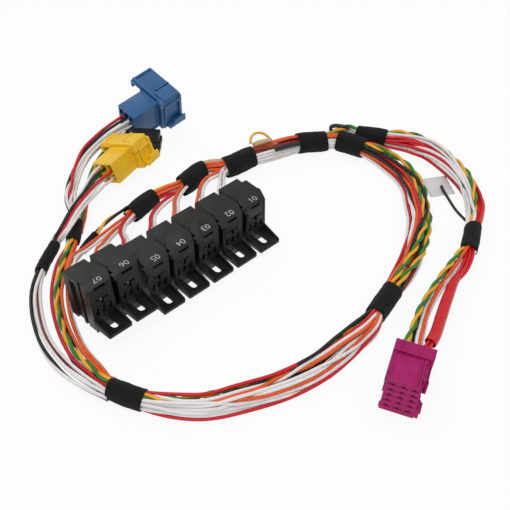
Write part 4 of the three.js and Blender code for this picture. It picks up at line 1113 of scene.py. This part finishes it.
terminal = {
    "thick": 0.8, "front": 24.2, "back": 28.0, "low": 13.2, "high": 18.0, "step": 7.0,
    "crossHalf": 4, "cross": (26.6, 27.4), "stemHalf": 0.4, "stem": (22.5, 25.5),
    "window": ((9, 25.5, 38.6), (16.5, 28.0, 39.4)),
}
number = {"size": 9.4, "x": 15.7, "y": 29.4, "rise": 0.06, "thick": 0.03}
ink = driftingFinish(
    "numberInk", {"Specular IOR Level": 0.3}, 1800.0, 500.0, (0.3, 0.31, 0.33), (0.5, 0.51, 0.53), (0.5, 0.7)
)


def terminalPiece(index):
    middle = row["foot"] / 2
    half = terminal["thick"] / 2
    boxes = [
        ((x - half, terminal["front"], terminal["low"]), (x + half, terminal["back"], terminal["high"]))
        for x in (middle + side * terminal["step"] for side in (-1, 0, 1))
    ]
    for half, (low, high) in ((terminal["crossHalf"], terminal["cross"]), (terminal["stemHalf"], terminal["stem"])):
        boxes.append(((middle - half, terminal["front"], low), (middle + half, terminal["back"], high)))
    boxes.append(terminal["window"])
    parts = [(*boxShape(low, high, partial(socketPoint, index)), 0) for low, high in boxes]
    piece = makePiece(f"terminals{index + 1}", parts, [tinMaterial])
    for polygon in piece.data.polygons:
        polygon.use_smooth = False
    return piece


def numberPiece(index):
    curve = bpy.data.curves.new(f"number{index + 1}", "FONT")
    curve.body = f"{index + 1:02d}"
    curve.size = number["size"] * mm
    curve.extrude = number["thick"] * mm
    curve.align_x = "CENTER"
    curve.align_y = "CENTER"
    text = placed(f"numberText{index + 1}", curve)
    bpy.context.view_layer.update()
    graph = bpy.context.evaluated_depsgraph_get()
    mesh = bpy.data.meshes.new_from_object(text.evaluated_get(graph), depsgraph=graph)
    bpy.data.objects.remove(text)
    mesh.materials.clear()
    mesh.materials.append(ink)
    tilt = math.radians(raised["tilt"]) if index >= row["level"] else 0.0
    spot = (socketPoint(index, number["x"], number["y"], row["height"] + number["rise"]) + rowShift) * mm
    mesh.transform(Matrix.Translation(Vector(spot)) @ Matrix.Rotation(tilt, 4, "X") @ Matrix.Rotation(math.pi, 4, "Z"))
    piece = placed(f"topNumber{index + 1}", mesh)
    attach(piece, "root")
    return piece


for index in range(row["count"]):
    terminalPiece(index)
    numberPiece(index)
print("terminals and numbers set")

# Floor and light

ground = {"reach": 12.0, "level": -0.0002, "tone": (0.86, 0.86, 0.86), "glow": 0.9}


def floorMaterial():
    material = bpy.data.materials.new("paleFloor")
    material.use_nodes = True
    tree = material.node_tree
    tree.nodes.clear()
    out = tree.nodes.new("ShaderNodeOutputMaterial")
    diffuse = tree.nodes.new("ShaderNodeBsdfDiffuse")
    diffuse.inputs["Color"].default_value = (*ground["tone"], 1)
    glow = tree.nodes.new("ShaderNodeEmission")
    glow.inputs["Strength"].default_value = 1.0
    path = tree.nodes.new("ShaderNodeLightPath")
    seen = math2(tree, "MAXIMUM", path.outputs["Is Camera Ray"], path.outputs["Is Glossy Ray"])
    seen = math2(tree, "MAXIMUM", seen, path.outputs["Is Transmission Ray"])
    mix = tree.nodes.new("ShaderNodeMixShader")
    tree.links.new(math2(tree, "MULTIPLY", seen, ground["glow"]), mix.inputs[0])
    tree.links.new(diffuse.outputs[0], mix.inputs[1])
    tree.links.new(glow.outputs[0], mix.inputs[2])
    tree.links.new(mix.outputs[0], out.inputs["Surface"])
    return material


floorMesh = bpy.data.meshes.new("floor")
reach, level = ground["reach"], ground["level"]
corners = [(-reach, -reach, level), (reach, -reach, level), (reach, reach, level), (-reach, reach, level)]
floorMesh.from_pydata(corners, [], [(0, 1, 2, 3)])
floorMesh.materials.append(floorMaterial())
placed("floor", floorMesh)

sky = {"light": 0.44, "seen": 1.0}
world = bpy.data.worlds.new("studio")
world.use_nodes = True
skyTree = world.node_tree
skyTree.nodes.clear()
skyOut = skyTree.nodes.new("ShaderNodeOutputWorld")
backdrops = {}
for use, strength in sky.items():
    backdrops[use] = skyTree.nodes.new("ShaderNodeBackground")
    backdrops[use].inputs["Color"].default_value = (1, 1, 1, 1)
    backdrops[use].inputs["Strength"].default_value = strength
skyPath = skyTree.nodes.new("ShaderNodeLightPath")
skyMix = skyTree.nodes.new("ShaderNodeMixShader")
skySeen = math2(skyTree, "MAXIMUM", skyPath.outputs["Is Camera Ray"], skyPath.outputs["Is Transmission Ray"])
skyTree.links.new(skySeen, skyMix.inputs[0])
skyTree.links.new(backdrops["light"].outputs[0], skyMix.inputs[1])
skyTree.links.new(backdrops["seen"].outputs[0], skyMix.inputs[2])
skyTree.links.new(skyMix.outputs[0], skyOut.inputs["Surface"])
bpy.context.scene.world = world

lamps = [
    {"name": "keyLamp", "place": (-0.7, -0.5, 1.5), "size": 1.1, "power": 12.0},
    {"name": "fillLamp", "place": (1.1, -0.6, 1.3), "size": 1.3, "power": 5.0},
    {"name": "backLamp", "place": (0.1, 1.2, 1.2), "size": 1.0, "power": 5.0},
]
aim = Vector((0.0, 0.02, 0.0))
for lamp in lamps:
    data = bpy.data.lights.new(lamp["name"], "AREA")
    data.size = lamp["size"]
    data.energy = lamp["power"]
    light = placed(lamp["name"], data)
    light.location = lamp["place"]
    light.rotation_euler = (aim - Vector(lamp["place"])).to_track_quat("-Z", "Y").to_euler()
bpy.context.scene.view_settings.view_transform = "Standard"
print("floor and light ready")

for node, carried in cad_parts.items():
    if not carried.hide_render:
        print("plain solid showing:", node)
